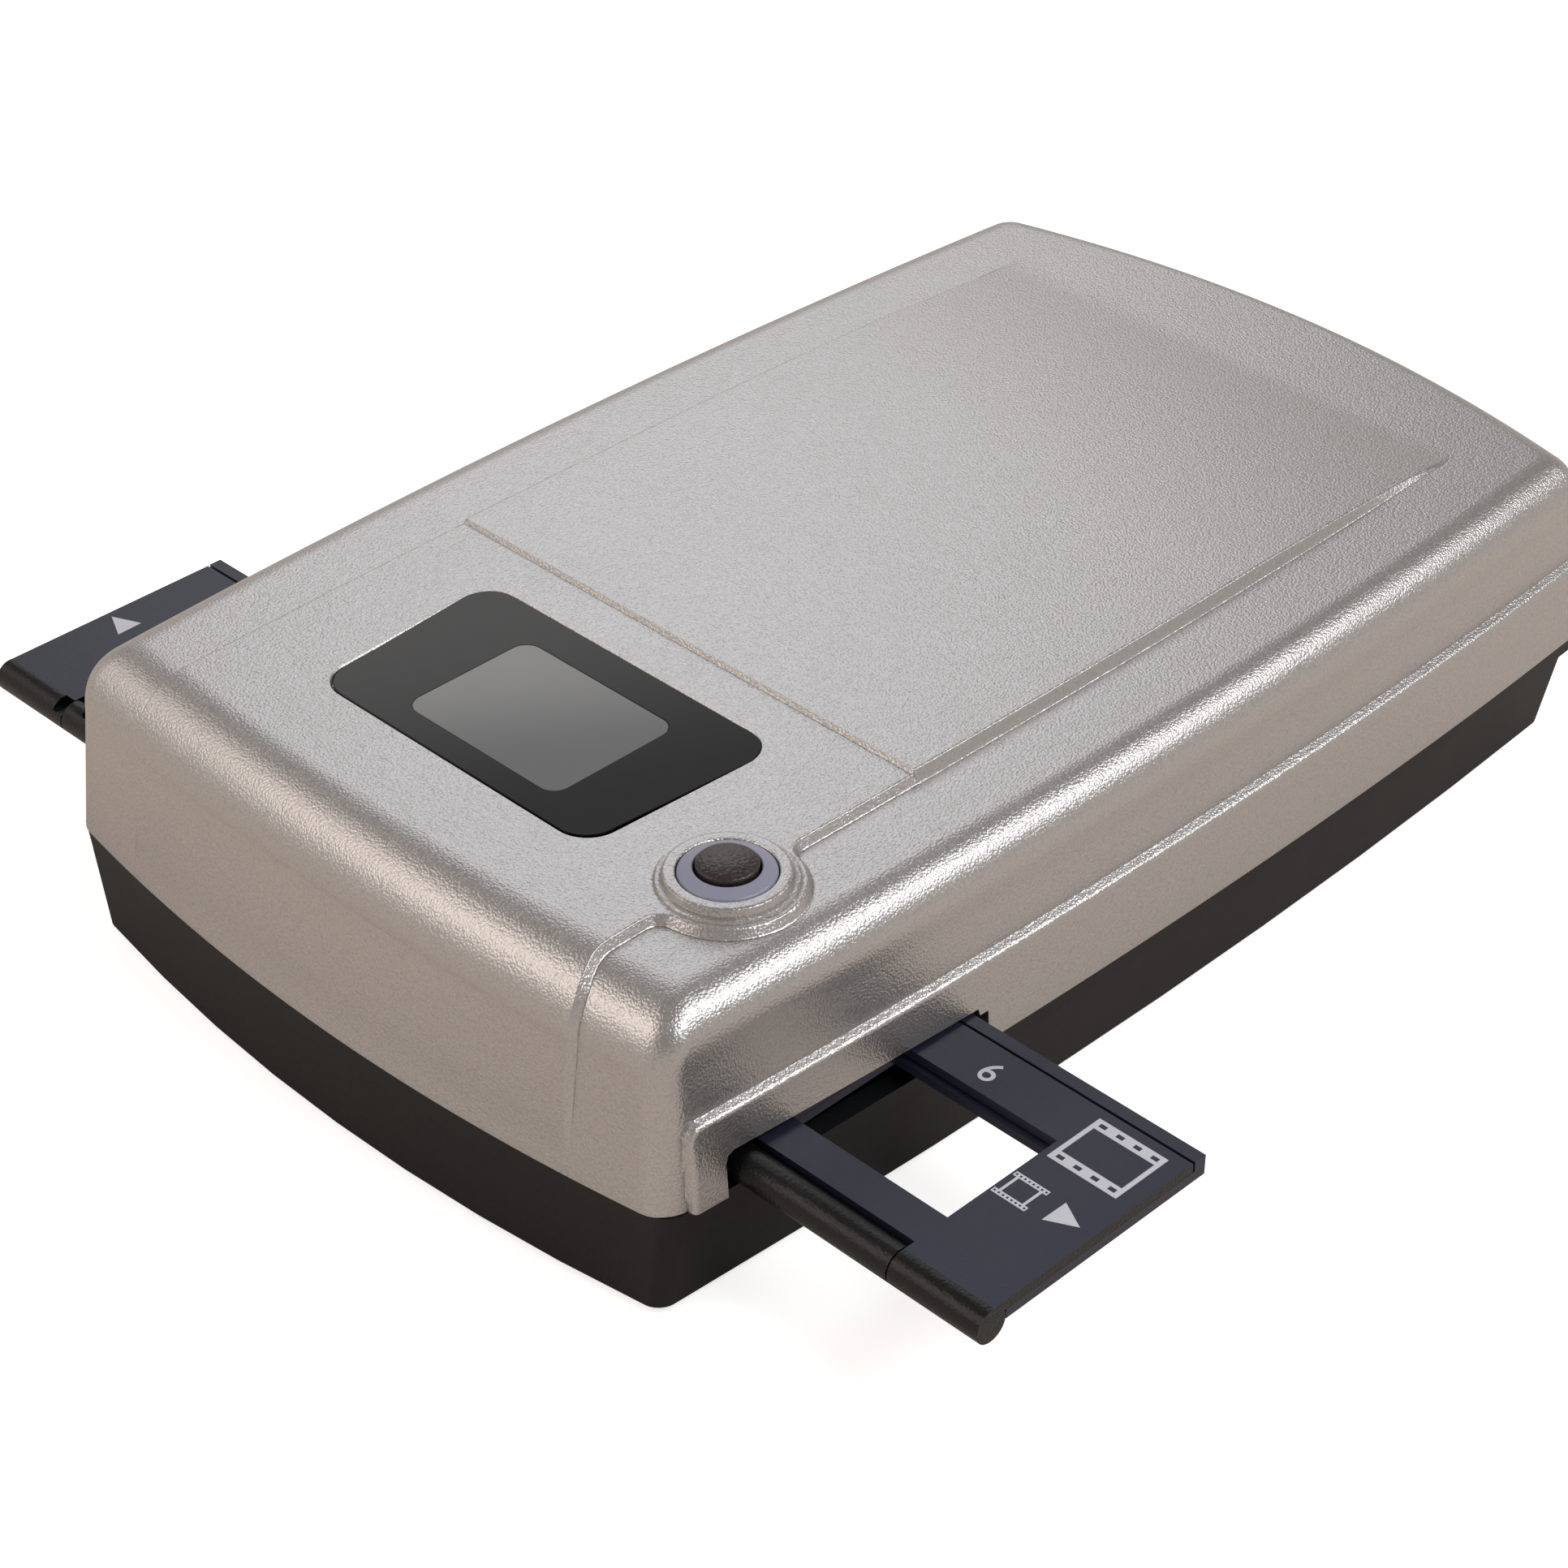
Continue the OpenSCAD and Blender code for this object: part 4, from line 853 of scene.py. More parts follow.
@dataclass
class Cover:
    """The champagne top cover: bowed walls, rims, the stepped centre band and the button's collar."""

    reach: float = 137.0
    half: float = 85.2
    bottom_z: float = 24.4
    shoulder_z: float = 62.9
    side_bow: float = 4.5
    end_bow: float = 7.2
    top_rear_bow: float = 10.4
    top_front_bow: float = 3.8
    side_lean: float = 1.8
    rear_lean: float = 1.0
    front_lean: float = 5.2
    corner: float = 5.0
    rim_side: float = 8.5
    rim_front: float = 12.0
    rim_rear: float = 5.0
    wall: float = 2.4
    band_rise: float = 1.6
    panel_rise: float = 0.8
    front_rise: float = 1.0
    front_fade_z: float = 31.0
    front_fade_h: float = 17.0
    # The fine groove beside the step on the front wall: depth, distance from the edge, width.
    line_depth: float = 0.16
    line_at: float = 0.62
    line_w: float = 0.13
    band_half: float = 60.2
    band_bow: float = 2.8
    # The band's right half is narrower in front of the button, and widens again down the front.
    narrow_half: float = 56.6
    narrow_y: float = -99.0
    narrow_run: float = 4.0
    flare: float = 3.2
    flare_y: float = -119.0
    flare_run: float = 11.0
    step_y: float = -48.5
    step_w: float = 0.45
    fade_y: float = 40.0
    fade_r: float = 939.0
    lines_y: Pair = (-112.0, 116.0)
    button: Pair = (58.4, -92.9)
    lobe_r: float = 14.0
    lobe_fillet: float = 3.5
    collar_r: float = 11.1
    collar_h: float = 2.1
    collar_foot_r: float = 12.5
    collar_ring_r: float = 13.6
    bore_r: float = 8.8
    # Beside the button the top's mesh reaches down the rim, between these y and to this depth.
    patch_y: Pair = (-111.0, -75.0)
    patch_in: float = 5.2
    # The side band stands out less towards its top and its rear: how much, from where, over what.
    rib_out: float = 1.8
    rib_lean: float = 0.25
    rib_lean_z: Pair = (30.0, 12.0)
    rib_rear_less: float = 0.2
    rib_rear_y: Pair = (90.0, 30.0)
    rib_top: float = 41.7
    rib_front: float = -124.6
    rib_left_back: float = 5.0
    rib_corner: float = 3.2
    # The root line along the side band's edge: depth, distance from the edge, width.
    root_depth: float = 0.12
    root_at: float = 0.25
    root_w: float = 0.2
    corner_steps: int = 16
    slot_x: Pair = (68.0, 92.0)
    slot: tuple[Pair, ...] = (
        (-117.4, 20.0), (-56.4, 20.0), (-56.4, 31.1), (-58.4, 31.1), (-58.8, 32.6),
        (-115.4, 33.6), (-116.8, 33.0), (-117.4, 31.6),
    )

    def build(self, seat: Pocket) -> Object:
        """Builds the whole cover.

        Args:
            seat: the plate's pocket and the hole under it.

        Returns:
            The cover as one closed piece.
        """
        draft = Draft()
        top = self.shoulder_z + self.band_rise
        levels = self._levels()
        rings = [self._ring(z, 0.0, 0.0) for z in levels]
        base = np.array([self._stations(ring) for ring in rings])
        outer = draft.add(self._raised(base, rings))
        patch = self._lobe_patch(base, levels)
        draft.skin(outer, patch)

        collar = draft.add(turned(self._collar_profile(top), self.button))
        draft.skin(collar[:, ::-1])
        rim = seat.plan()
        wall = shrink(rim, seat.edge)
        floor = top - seat.depth
        walls = [level(rim, top), level(wall, top - seat.edge), level(wall, floor)]
        pocket = draft.add(np.array(walls))
        draft.skin(pocket[:, ::-1])
        ceiling = self.shoulder_z - self.wall
        hole = draft.add(np.array([level(seat.hole(), z) for z in (floor, ceiling)]))
        draft.skin(hole[:, ::-1])
        draft.fill([pocket[-1], hole[0]], draft.plan(), True)
        self._fill_top(draft, outer, patch, base, levels, [collar[0], pocket[0]])

        inner_levels = self._inner_levels(ceiling)
        inner_rings = [self._ring(z, self.wall, self.wall * 0.83, ceiling) for z in inner_levels]
        inner = draft.add(np.array([self._stations(ring) for ring in inner_rings]))
        draft.skin(inner[:, ::-1])
        draft.skin(np.array([inner[0], outer[0]]))
        draft.fill([inner[-1], collar[-1], hole[-1]], draft.plan(), False)
        cover = draft.make("top_cover_piece", CHAMPAGNE, angle=30.0)
        self._cut_slots(cover)
        return settle(cover, ("top_cover",), "body")

    def _levels(self) -> Array:
        """Returns the heights of the outer rings.

        Returns:
            The heights, the lowest first.
        """
        low = [self.bottom_z, self.bottom_z + 0.12, self.bottom_z + 0.4, 27.0, 30.0, 33.0, 36.0]
        # The rings are close where the upper edge of the side band lies.
        ribs = list(np.arange(38.0, self.rib_top - 0.01, 0.22)) + [self.rib_top, self.rib_top + 0.3]
        start = self.shoulder_z - self.rim_front
        walls = [44.0, 46.0, 48.5, start]
        rim = [start + self.rim_front * math.sin(math.radians(a)) for a in np.linspace(0, 90, 25)[1:]]
        return np.array(low + ribs + walls + rim)

    def _inner_levels(self, ceiling: float) -> Array:
        """Returns the heights of the inner rings.

        Args:
            ceiling: height of the inner top.

        Returns:
            The heights, the lowest first.
        """
        radius = self.rim_front - self.wall * 0.83
        rim = [ceiling - radius + radius * math.sin(math.radians(a)) for a in np.linspace(0, 90, 8)]
        return np.array([self.bottom_z, 38.0] + rim)

    def _ring(self, z: float, inset: float, less: float, top: float | None = None) -> Ring:
        """Returns the cover's outline at height z.

        Args:
            z: the height.
            inset: how far the walls are moved in.
            less: how much smaller the rim's radii are.
            top: height of the level top.

        Returns:
            The outline.
        """
        top = self.shoulder_z if top is None else top
        share = min(1.0, (z - self.bottom_z) / (self.shoulder_z - self.rim_front - self.bottom_z))
        side = rim_in(z, top, self.rim_side - less)
        front = rim_in(z, top, self.rim_front - less)
        rear = rim_in(z, top, self.rim_rear - less)
        chamfer = 0.0 if inset else max(0.0, 0.25 - (z - self.bottom_z) * 1.2)
        moved = inset + chamfer
        return Ring(
            self.half - self.side_lean * share - moved - side,
            self.reach - self.front_lean * share - moved - front,
            self.reach - self.rear_lean * share - moved - rear,
            self.side_bow,
            self.end_bow + (self.top_front_bow - self.end_bow) * share,
            self.end_bow + (self.top_rear_bow - self.end_bow) * share,
            max(self.corner - (moved + side) * 0.5, 2.2),
            z,
        )

    def _edge_x(self, y: Array, right: bool) -> Array:
        """Returns the half width of the centre band at y, without the lobe.

        Args:
            y: the places along the cover.
            right: whether the right-hand edge is meant.

        Returns:
            The half width at each place.
        """
        plain = self.band_half - self.band_bow * (y / self.reach) ** 2
        if not right:
            return plain
        turn = np.clip((self.flare_y - y) / self.flare_run, 0, 1)
        front = self.narrow_half + self.flare * turn * turn * (3 - 2 * turn)
        mix = np.clip((self.narrow_y - y) / self.narrow_run, 0, 1)
        return plain + (front - plain) * mix

    def _edge_at(self, y: float, right: bool = True) -> float:
        """Returns the half width of the centre band at one y."""
        return float(self._edge_x(np.array(y), right))

    def _stations(self, ring: Ring) -> Array:
        """Returns the points of a ring, with lines of points along the band's edges.

        Args:
            ring: the outline.

        Returns:
            The points with their height.
        """
        limit = ring.corner_x - ring.corner
        edges = []
        for right in (False, True):
            # The edge's place depends on the end's bow there, so a few rounds find it.
            x = 58.0
            for _ in range(6):
                x = self._edge_at(ring.front_y(np.array(x)), right)
            edges.append(min(x, limit - 3.2))
        left, right_x = edges
        front = np.concatenate([
            np.linspace(-limit, -left - 2.2, 9)[:-1], [-left - 2.0], -left - STEP_AT[::-1],
            np.linspace(-left + 2.2, right_x - 2.2, 34), right_x + STEP_AT, [right_x + 2.0],
            np.linspace(right_x + 2.4, limit, 9)[1:],
        ])
        side = np.unique(np.concatenate([np.linspace(0, 0.03, 22), np.linspace(0.03, 1, 70)]))
        return ring.points(side, np.linspace(0, 1, 41), np.sort(front), self.corner_steps)

    def _raised(self, base: Array, rings: list[Ring]) -> Array:
        """Moves the rings out by the band on the front wall and the band along the sides.

        Args:
            base: the points of all rings.
            rings: the outlines that they are on.

        Returns:
            The moved points.
        """
        raised = base.copy()
        # The way out of the wall in plan, at every point.
        ahead = np.roll(base, -1, axis=1) - np.roll(base, 1, axis=1)
        length = np.linalg.norm(ahead[:, :, :2], axis=2)
        out = np.stack([ahead[:, :, 1] / length, -ahead[:, :, 0] / length], axis=2)
        for k, ring in enumerate(rings):
            x, y = base[k, :, 0], base[k, :, 1]
            front = (y < FRONT_Y) & (np.abs(x) < ring.corner_x - ring.corner + 0.01)
            edge = np.where(x > 0, self._edge_x(y, True), self._edge_x(y, False))
            share = np.interp(np.abs(x) - edge, STEP_AT, STEP_RISE) * front
            drop = self.rim_front - (self.shoulder_z - ring.z)
            tilt = math.asin(min(1.0, max(0.0, drop / self.rim_front)))
            fade = math.sqrt(min(1.0, max(0.0, (ring.z - self.front_fade_z) / self.front_fade_h)))
            lift = (self.front_rise + (self.band_rise - self.front_rise) * math.sin(tilt)) * fade
            line = np.exp(-(((np.abs(x) - edge - self.line_at) / self.line_w) ** 2)) * front * fade
            ahead_by = (share * lift - self.line_depth * line) * math.cos(tilt)
            raised[k, :, :2] += out[k] * ahead_by[:, None]
            raised[k, :, 2] += share * lift * math.sin(tilt)
            raised[k, :, :2] += out[k] * self._rib(x, y, ring.z)[:, None]
        return raised

    def _rib(self, x: Array, y: Array, z: float) -> Array:
        """Returns how far the side band stands out at points of one height.

        Args:
            x: x of the points.
            y: y of the points.
            z: their height.

        Returns:
            The distance out at each point.
        """
        start = np.where(x > 0, self.rib_front, self.rib_front + self.rib_left_back)
        dx = np.maximum(start + self.rib_corner - y, 0)
        dz = max(z - (self.rib_top - self.rib_corner), 0.0)
        beyond = np.hypot(dx, dz) - self.rib_corner
        inside = np.minimum(np.maximum(y - start, -1), self.rib_top - z)
        depth = np.where((dx > 0) & (dz > 0), -beyond, inside)
        groove = -self.root_depth * np.exp(-(((depth + self.root_at) / self.root_w) ** 2))
        from_z, over_z = self.rib_lean_z
        from_y, over_y = self.rib_rear_y
        lean = self.rib_lean * np.clip((z - from_z) / over_z, 0, 1)
        lean = lean + self.rib_rear_less * np.clip((y - from_y) / over_y, 0, 1)
        out = (self.rib_out - lean) * np.interp(depth, LEDGE_AT, LEDGE_OUT)
        return out + groove * (y > start - 0.6)

    def _lobe_patch(self, base: Array, levels: Array) -> Array:
        """Returns which quads of the rim are left out beside the button.

        Args:
            base: the points of all rings.
            levels: the rings' heights.

        Returns:
            True for each quad that is left out.
        """
        patch = np.zeros((base.shape[0] - 1, base.shape[1]), bool)
        x, y = base[-1, :, 0], base[-1, :, 1]
        columns = (x > 0) & (y > self.patch_y[0]) & (y < self.patch_y[1])
        depth = [rim_in(z, self.shoulder_z, self.rim_side) for z in levels]
        first = next(k for k, d in enumerate(depth) if d > self.rim_side - self.patch_in)
        both = columns & np.roll(columns, -1)
        patch[first:, :] = both[None, :]
        return patch

    def _collar_profile(self, top: float) -> list[Pair]:
        """Returns the button collar's profile from its foot over the top into the bore.

        Args:
            top: height of the band round the collar.

        Returns:
            Radius and height of each ring.
        """
        r, h = self.collar_r, top + self.collar_h
        foot, bore = self.collar_foot_r, self.bore_r
        return [
            (foot + 0.5, top), (foot + 0.2, top + 0.02), (foot, top + 0.12), (foot - 0.08, top + 0.45),
            (foot - 0.22, top + 0.62), (foot - 0.5, top + 0.68), (r + 0.5, top + 0.7),
            (r + 0.3, top + 0.78), (r + 0.2, top + 1.0), (r + 0.1, h - 0.55), (r - 0.02, h - 0.2),
            (r - 0.25, h - 0.04), (r - 0.6, h), (bore + 0.5, h), (bore + 0.2, h - 0.06),
            (bore + 0.04, h - 0.25), (bore, h - 0.5), (bore, self.shoulder_z - self.wall),
        ]

    def _base_z(self, x: float, y: float, rows: list[tuple[float, Ring]]) -> float:
        """Returns the height of the cover without the band, on top or on the right-hand rim.

        Args:
            x: x of the plan point.
            y: y of the plan point.
            rows: the upper rings with their heights.

        Returns:
            The height.
        """
        edges = [float(ring.side_x(np.array(y))) for _, ring in rows]
        if x <= edges[-1]:
            return self.shoulder_z
        return float(np.interp(-x, [-e for e in edges], [z for z, _ in rows]))

    def _fillets(self) -> list[Fillet]:
        """Returns the middles of the two fillets beside the lobe, and y where they leave the edge.

        Returns:
            The front fillet and the rear one.
        """
        found = []
        for sign in (-1, 1):
            # Halving finds the place where the fillet touches the lobe.
            low, high = 0.0, 25.0
            for _ in range(50):
                t = (low + high) / 2
                y = self.button[1] + sign * t
                middle = np.array([self._edge_at(y) + self.lobe_fillet, y])
                if np.hypot(*(middle - self.button)) < self.lobe_r + self.lobe_fillet:
                    low = t
                else:
                    high = t
            found.append((middle, y))
        return found

    def _band_distance(self, x: float, y: float, fillets: list[Fillet]) -> float:
        """Returns the signed distance from the band's edge in plan, negative inside.

        Args:
            x: x of the plan point.
            y: y of the plan point.
            fillets: the two fillets.

        Returns:
            The distance.
        """
        line = abs(x) - self._edge_at(y, x > 0)
        if x < 0 or not fillets[0][1] - 1e-6 < y < fillets[1][1] + 1e-6:
            return line
        point, button = np.array([x, y]), np.array(self.button)
        for middle, _ in fillets:
            a, b, u = np.array([-1.0, 0.0]), button - middle, point - middle
            turn = cross(a, b)
            between = cross(a, u) * turn >= 0 and cross(u, b) * turn >= 0
            if between and u @ (a + b / np.linalg.norm(b)) > 0:
                return self.lobe_fillet - float(np.hypot(*u))
        return min(line, float(np.hypot(*(point - button))) - self.lobe_r)

    def _rise(self, x: float, y: float, fillets: list[Fillet]) -> float:
        """Returns the height of the band's panels over the shoulders at a plan point.

        Args:
            x: x of the plan point.
            y: y of the plan point.
            fillets: the two fillets.

        Returns:
            The height.
        """
        share = float(np.interp(self._band_distance(x, y, fillets), STEP_AT, STEP_RISE))
        panel = float(np.interp((self.step_y - y) / self.step_w, STEP_AT, STEP_RISE)) * self.panel_rise
        fall = max(0.0, y - self.fade_y) ** 2 / (2 * self.fade_r)
        return share * max(0.0, self.band_rise + panel - fall)

    def _sweep(self, middle: Array, t: float) -> list[Array]:
        """Returns points round a fillet from the straight edge to the lobe, t beside the edge.

        Args:
            middle: the middle of the fillet.
            t: the distance from the band's edge.

        Returns:
            The points.
        """
        turn = bearing(np.array(self.button) - middle)
        end = turn if turn > 0 else turn + 2 * math.pi
        return around(middle, self.lobe_fillet - t, np.linspace(math.pi, end, 8))

    def _edge_lines(self, fillets: list[Fillet], starts: dict[float, Array]) -> list[Array]:
        """Returns the plan lines beside the right-hand edge, from the front ring backwards.

        Args:
            fillets: the middles of the fillets and where they leave the edge.
            starts: first point of each line, by its distance from the edge.

        Returns:
            One line for each start.
        """
        lines = []
        button = np.array(self.button)
        (front_mid, front_y), (rear_mid, rear_y) = fillets
        turn = np.linspace(bearing(front_mid - button), bearing(rear_mid - button), 44)[1:-1]
        behind = np.concatenate([
            np.arange(rear_y + 1.0, self.fade_y, 3.0), np.arange(self.fade_y, self.lines_y[1], 3.0)
        ])
        for t, first in starts.items():
            before = np.arange(first[1] + 0.8, front_y, 1.0)
            line = [first] + [np.array([self._edge_at(y) + t, y]) for y in before]
            line += self._sweep(front_mid, t)
            line += around(button, self.lobe_r + t, turn)
            line += self._sweep(rear_mid, t)[::-1]
            line += [np.array([self._edge_at(y) + t, y]) for y in behind]
            lines.append(np.array(line))
        return lines

    def _starts(self, ring: Array, right: bool) -> dict[float, Array]:
        """Returns the front points of a ring that lie nearest to the band's edge lines.

        Args:
            ring: the points of the top ring.
            right: whether the right-hand edge is meant.

        Returns:
            A point for each distance from the edge.
        """
        starts = {}
        x = ring[:, 0] if right else -ring[:, 0]
        for t in STEP_AT:
            gap = np.abs(x - self._edge_x(ring[:, 1], right) - t)
            gap[ring[:, 1] > FRONT_Y] = np.inf
            starts[float(t)] = ring[int(np.argmin(gap)), :2]
        return starts

    def _top_lines(self, ring: Array, fillets: list[Fillet]) -> list[Array]:
        """Returns the plan lines along the band's edges and steps and where it fades out.

        Args:
            ring: the points of the top ring.
            fillets: the middles of the fillets and where they leave the edge.

        Returns:
            The lines.
        """
        lines = self._edge_lines(fillets, self._starts(ring, True))
        for t, start in self._starts(ring, False).items():
            ys = np.concatenate([[start[1] + 1.0], np.arange(*self.lines_y, 4.0)])
            lines.append(np.array([start] + [[-self._edge_at(y, False) - t, y] for y in ys]))
        wide = self.band_half + 0.9
        steps = [self.step_y + t * self.step_w for t in STEP_AT]
        for y in steps + list(np.arange(self.fade_y - 4, self.lines_y[1], 4.0)):
            lines.append(np.array([[-wide, y], [wide, y]]))
        return lines

    def _fill_top(
        self, draft: Draft, outer: Array, patch: Array, base: Array,
        levels: Array, holes: list[Array],
    ) -> None:
        """Fills the top inside the rim, with its steps, round the collar and the plate.

        Args:
            draft: the draft that gets the faces.
            outer: point numbers of the outer rings.
            patch: the quads left out beside the button.
            base: the outer rings before they were raised.
            levels: heights of the rings.
            holes: point numbers of the collar's foot and of the pocket's edge.
        """
        first = int(np.argmax(patch.any(axis=1)))
        columns = np.nonzero(patch[first])[0]
        c0, c1 = int(columns[0]), int(columns[-1]) + 1
        width = outer.shape[1]
        last = outer.shape[0] - 1
        loop = [int(outer[k, c0]) for k in range(last, first, -1)]
        loop += [int(outer[first, c]) for c in range(c0, c1 + 1)]
        loop += [int(outer[k, c1]) for k in range(first + 1, last)]
        loop += [int(outer[last, c % width]) for c in range(c1, c0 + width)]
        loops = [loop] + [[int(i) for i in hole] for hole in holes]
        known = [i for rim in loops for i in rim]
        fillets = self._fillets()
        lines = self._top_lines(base[last], fillets)
        lines += [base[k, c0 : c1 + 1, :2] for k in range(first + 1, last + 1)]
        turn = np.linspace(0, 2 * math.pi, 97)
        ring = self.collar_ring_r * np.column_stack([np.cos(turn), np.sin(turn)])
        lines.append(np.array(self.button) + ring)

        plan = draft.plan()
        points, edges = [], []
        for rim in loops:
            edges += closed_edges(len(points), len(rim))
            points += [Vector(plan[i]) for i in rim]
        for line in lines:
            start = len(points)
            points += [Vector(p) for p in line]
            edges += [(start + i, start + i + 1) for i in range(len(line) - 1)]
        verts, _, faces, sources, _, _ = geometry.delaunay_2d_cdt(points, edges, [], 0, 1e-5)
        rows = [(levels[k], self._ring(levels[k], 0.0, 0.0)) for k in range(first - 2, last + 1)]
        # Points of the loops keep their numbers, and a new one gets the cover's height there.
        numbers, fresh = [], []
        for vert, source in zip(verts, sources):
            kept = [s for s in source if s < len(known)]
            if kept:
                numbers.append(known[kept[0]])
                continue
            z = self._base_z(vert.x, vert.y, rows) + self._rise(vert.x, vert.y, fillets)
            numbers.append(draft.count + len(fresh))
            fresh.append((vert.x, vert.y, z))
        draft.add(np.array(fresh))
        inside, *outside = [in_loop(plan[rim]) for rim in loops]
        for face in faces:
            middle = np.mean([tuple(verts[i]) for i in face], axis=0)
            if inside(middle) and not any(hole(middle) for hole in outside):
                draft.faces.append(tuple(numbers[i] for i in face))

    def _cut_slots(self, cover: Object) -> None:
        """Cuts the notches for the film holder into both side walls.

        Args:
            cover: the cover, whose mesh is changed.
        """
        draft = Draft()
        loop = np.array(self.slot)
        for side in (-1, 1):
            ends = sorted(side * x for x in self.slot_x)
            numbers = draft.add(np.array([[(x, y, z) for y, z in loop] for x in ends]))
            draft.skin(numbers)
            draft.faces.append(tuple(int(i) for i in numbers[0][::-1]))
            draft.faces.append(tuple(int(i) for i in numbers[1]))
        cutter = draft.make("slot_cutter", CHAMPAGNE)
        cut = cover.modifiers.new("slots", "BOOLEAN")
        cut.operation = "DIFFERENCE"
        cut.solver = "EXACT"
        cut.object = cutter
        apply_modifiers(cover)
        bpy.data.objects.remove(cutter)
        tidy_mesh(cover.data, 30.0, merge=DOUBLES)


# ---------------------------------------------------------------------------
# Button
# ---------------------------------------------------------------------------


def revolved(name: str, profile: list[Pair], centre: Pair, finish: Finish) -> Object:
    """Makes a closed piece from a profile turned round an upright axis.

    Args:
        name: the piece's name.
        profile: radius and height of each ring; the last one joins the first.
        centre: x and y of the axis.
        finish: the piece's finish.

    Returns:
        The new piece.
    """
    draft = Draft()
    rings = draft.add(turned(profile, centre))
    draft.skin(np.vstack([rings, rings[:1]]))
    return draft.make(name, finish)


@dataclass
class ScanButton:
    """The light ring, which rises towards the middle, and the domed cap inside it."""

    centre: Pair = (58.4, -92.9)
    bore_r: float = 8.65
    ring_in: float = 5.85
    ring_top: float = 66.8
    ring_high: float = 67.45
    lip_r: float = 9.9
    lip_z: Pair = (59.2, 59.48)
    crown_r: float = 0.75
    inner_r: float = 0.35
    cap_r: float = 5.5
    edge_r: float = 0.55
    edge_drop: float = 1.15
    cap_top: float = 69.0
    dome_power: float = 2.4
    skirt_z: float = 60.5
    stem_r: float = 2.6
    stem_z: float = 55.95

    def build(self) -> list[Object]:
        """Builds the ring and the cap."""
        return [self._ring(), self._cap()]

    def _ring(self) -> Object:
        """Builds the ring, which rolls over at the collar and rises to the cap.

        Returns:
            The ring.
        """
        low, high = self.lip_z
        big, small = self.crown_r, self.inner_r
        crown = arc((self.bore_r - big, self.ring_top - big), big, 0, 75, 8)
        inner = arc((self.ring_in + small, self.ring_high - small), small, 75, 180, 6)
        profile = [(self.ring_in, low), (self.lip_r, low), (self.lip_r, high), (self.bore_r, high)]
        profile += crown + inner
        ring = revolved("button_light_ring_piece", profile, self.centre, RING_RESIN)
        return settle(ring, ("button_light_ring",), "body")

    def _cap(self) -> Object:
        """Builds the cap with its low dome, rolled edge, skirt and stem.

        Returns:
            The cap.
        """
        middle = (self.cap_r - self.edge_r, self.cap_top - self.edge_drop)
        edge = arc(middle, self.edge_r, 0, 62, 6)
        reach, height = edge[-1]
        dome = [
            (reach * (1 - t), height + (self.cap_top - height) * (1 - (1 - t) ** self.dome_power))
            for t in np.linspace(0, 1, 12)[1:]
        ]
        profile = [(0.0, self.stem_z), (self.stem_r, self.stem_z), (self.stem_r, self.skirt_z)]
        profile += [(self.cap_r, self.skirt_z)] + edge + dome
        cap = revolved("scan_button_piece", profile, self.centre, CAP_ABS)
        return settle(cap, ("scan_button",), "scan_button")


# ---------------------------------------------------------------------------
# Case screws
# ---------------------------------------------------------------------------


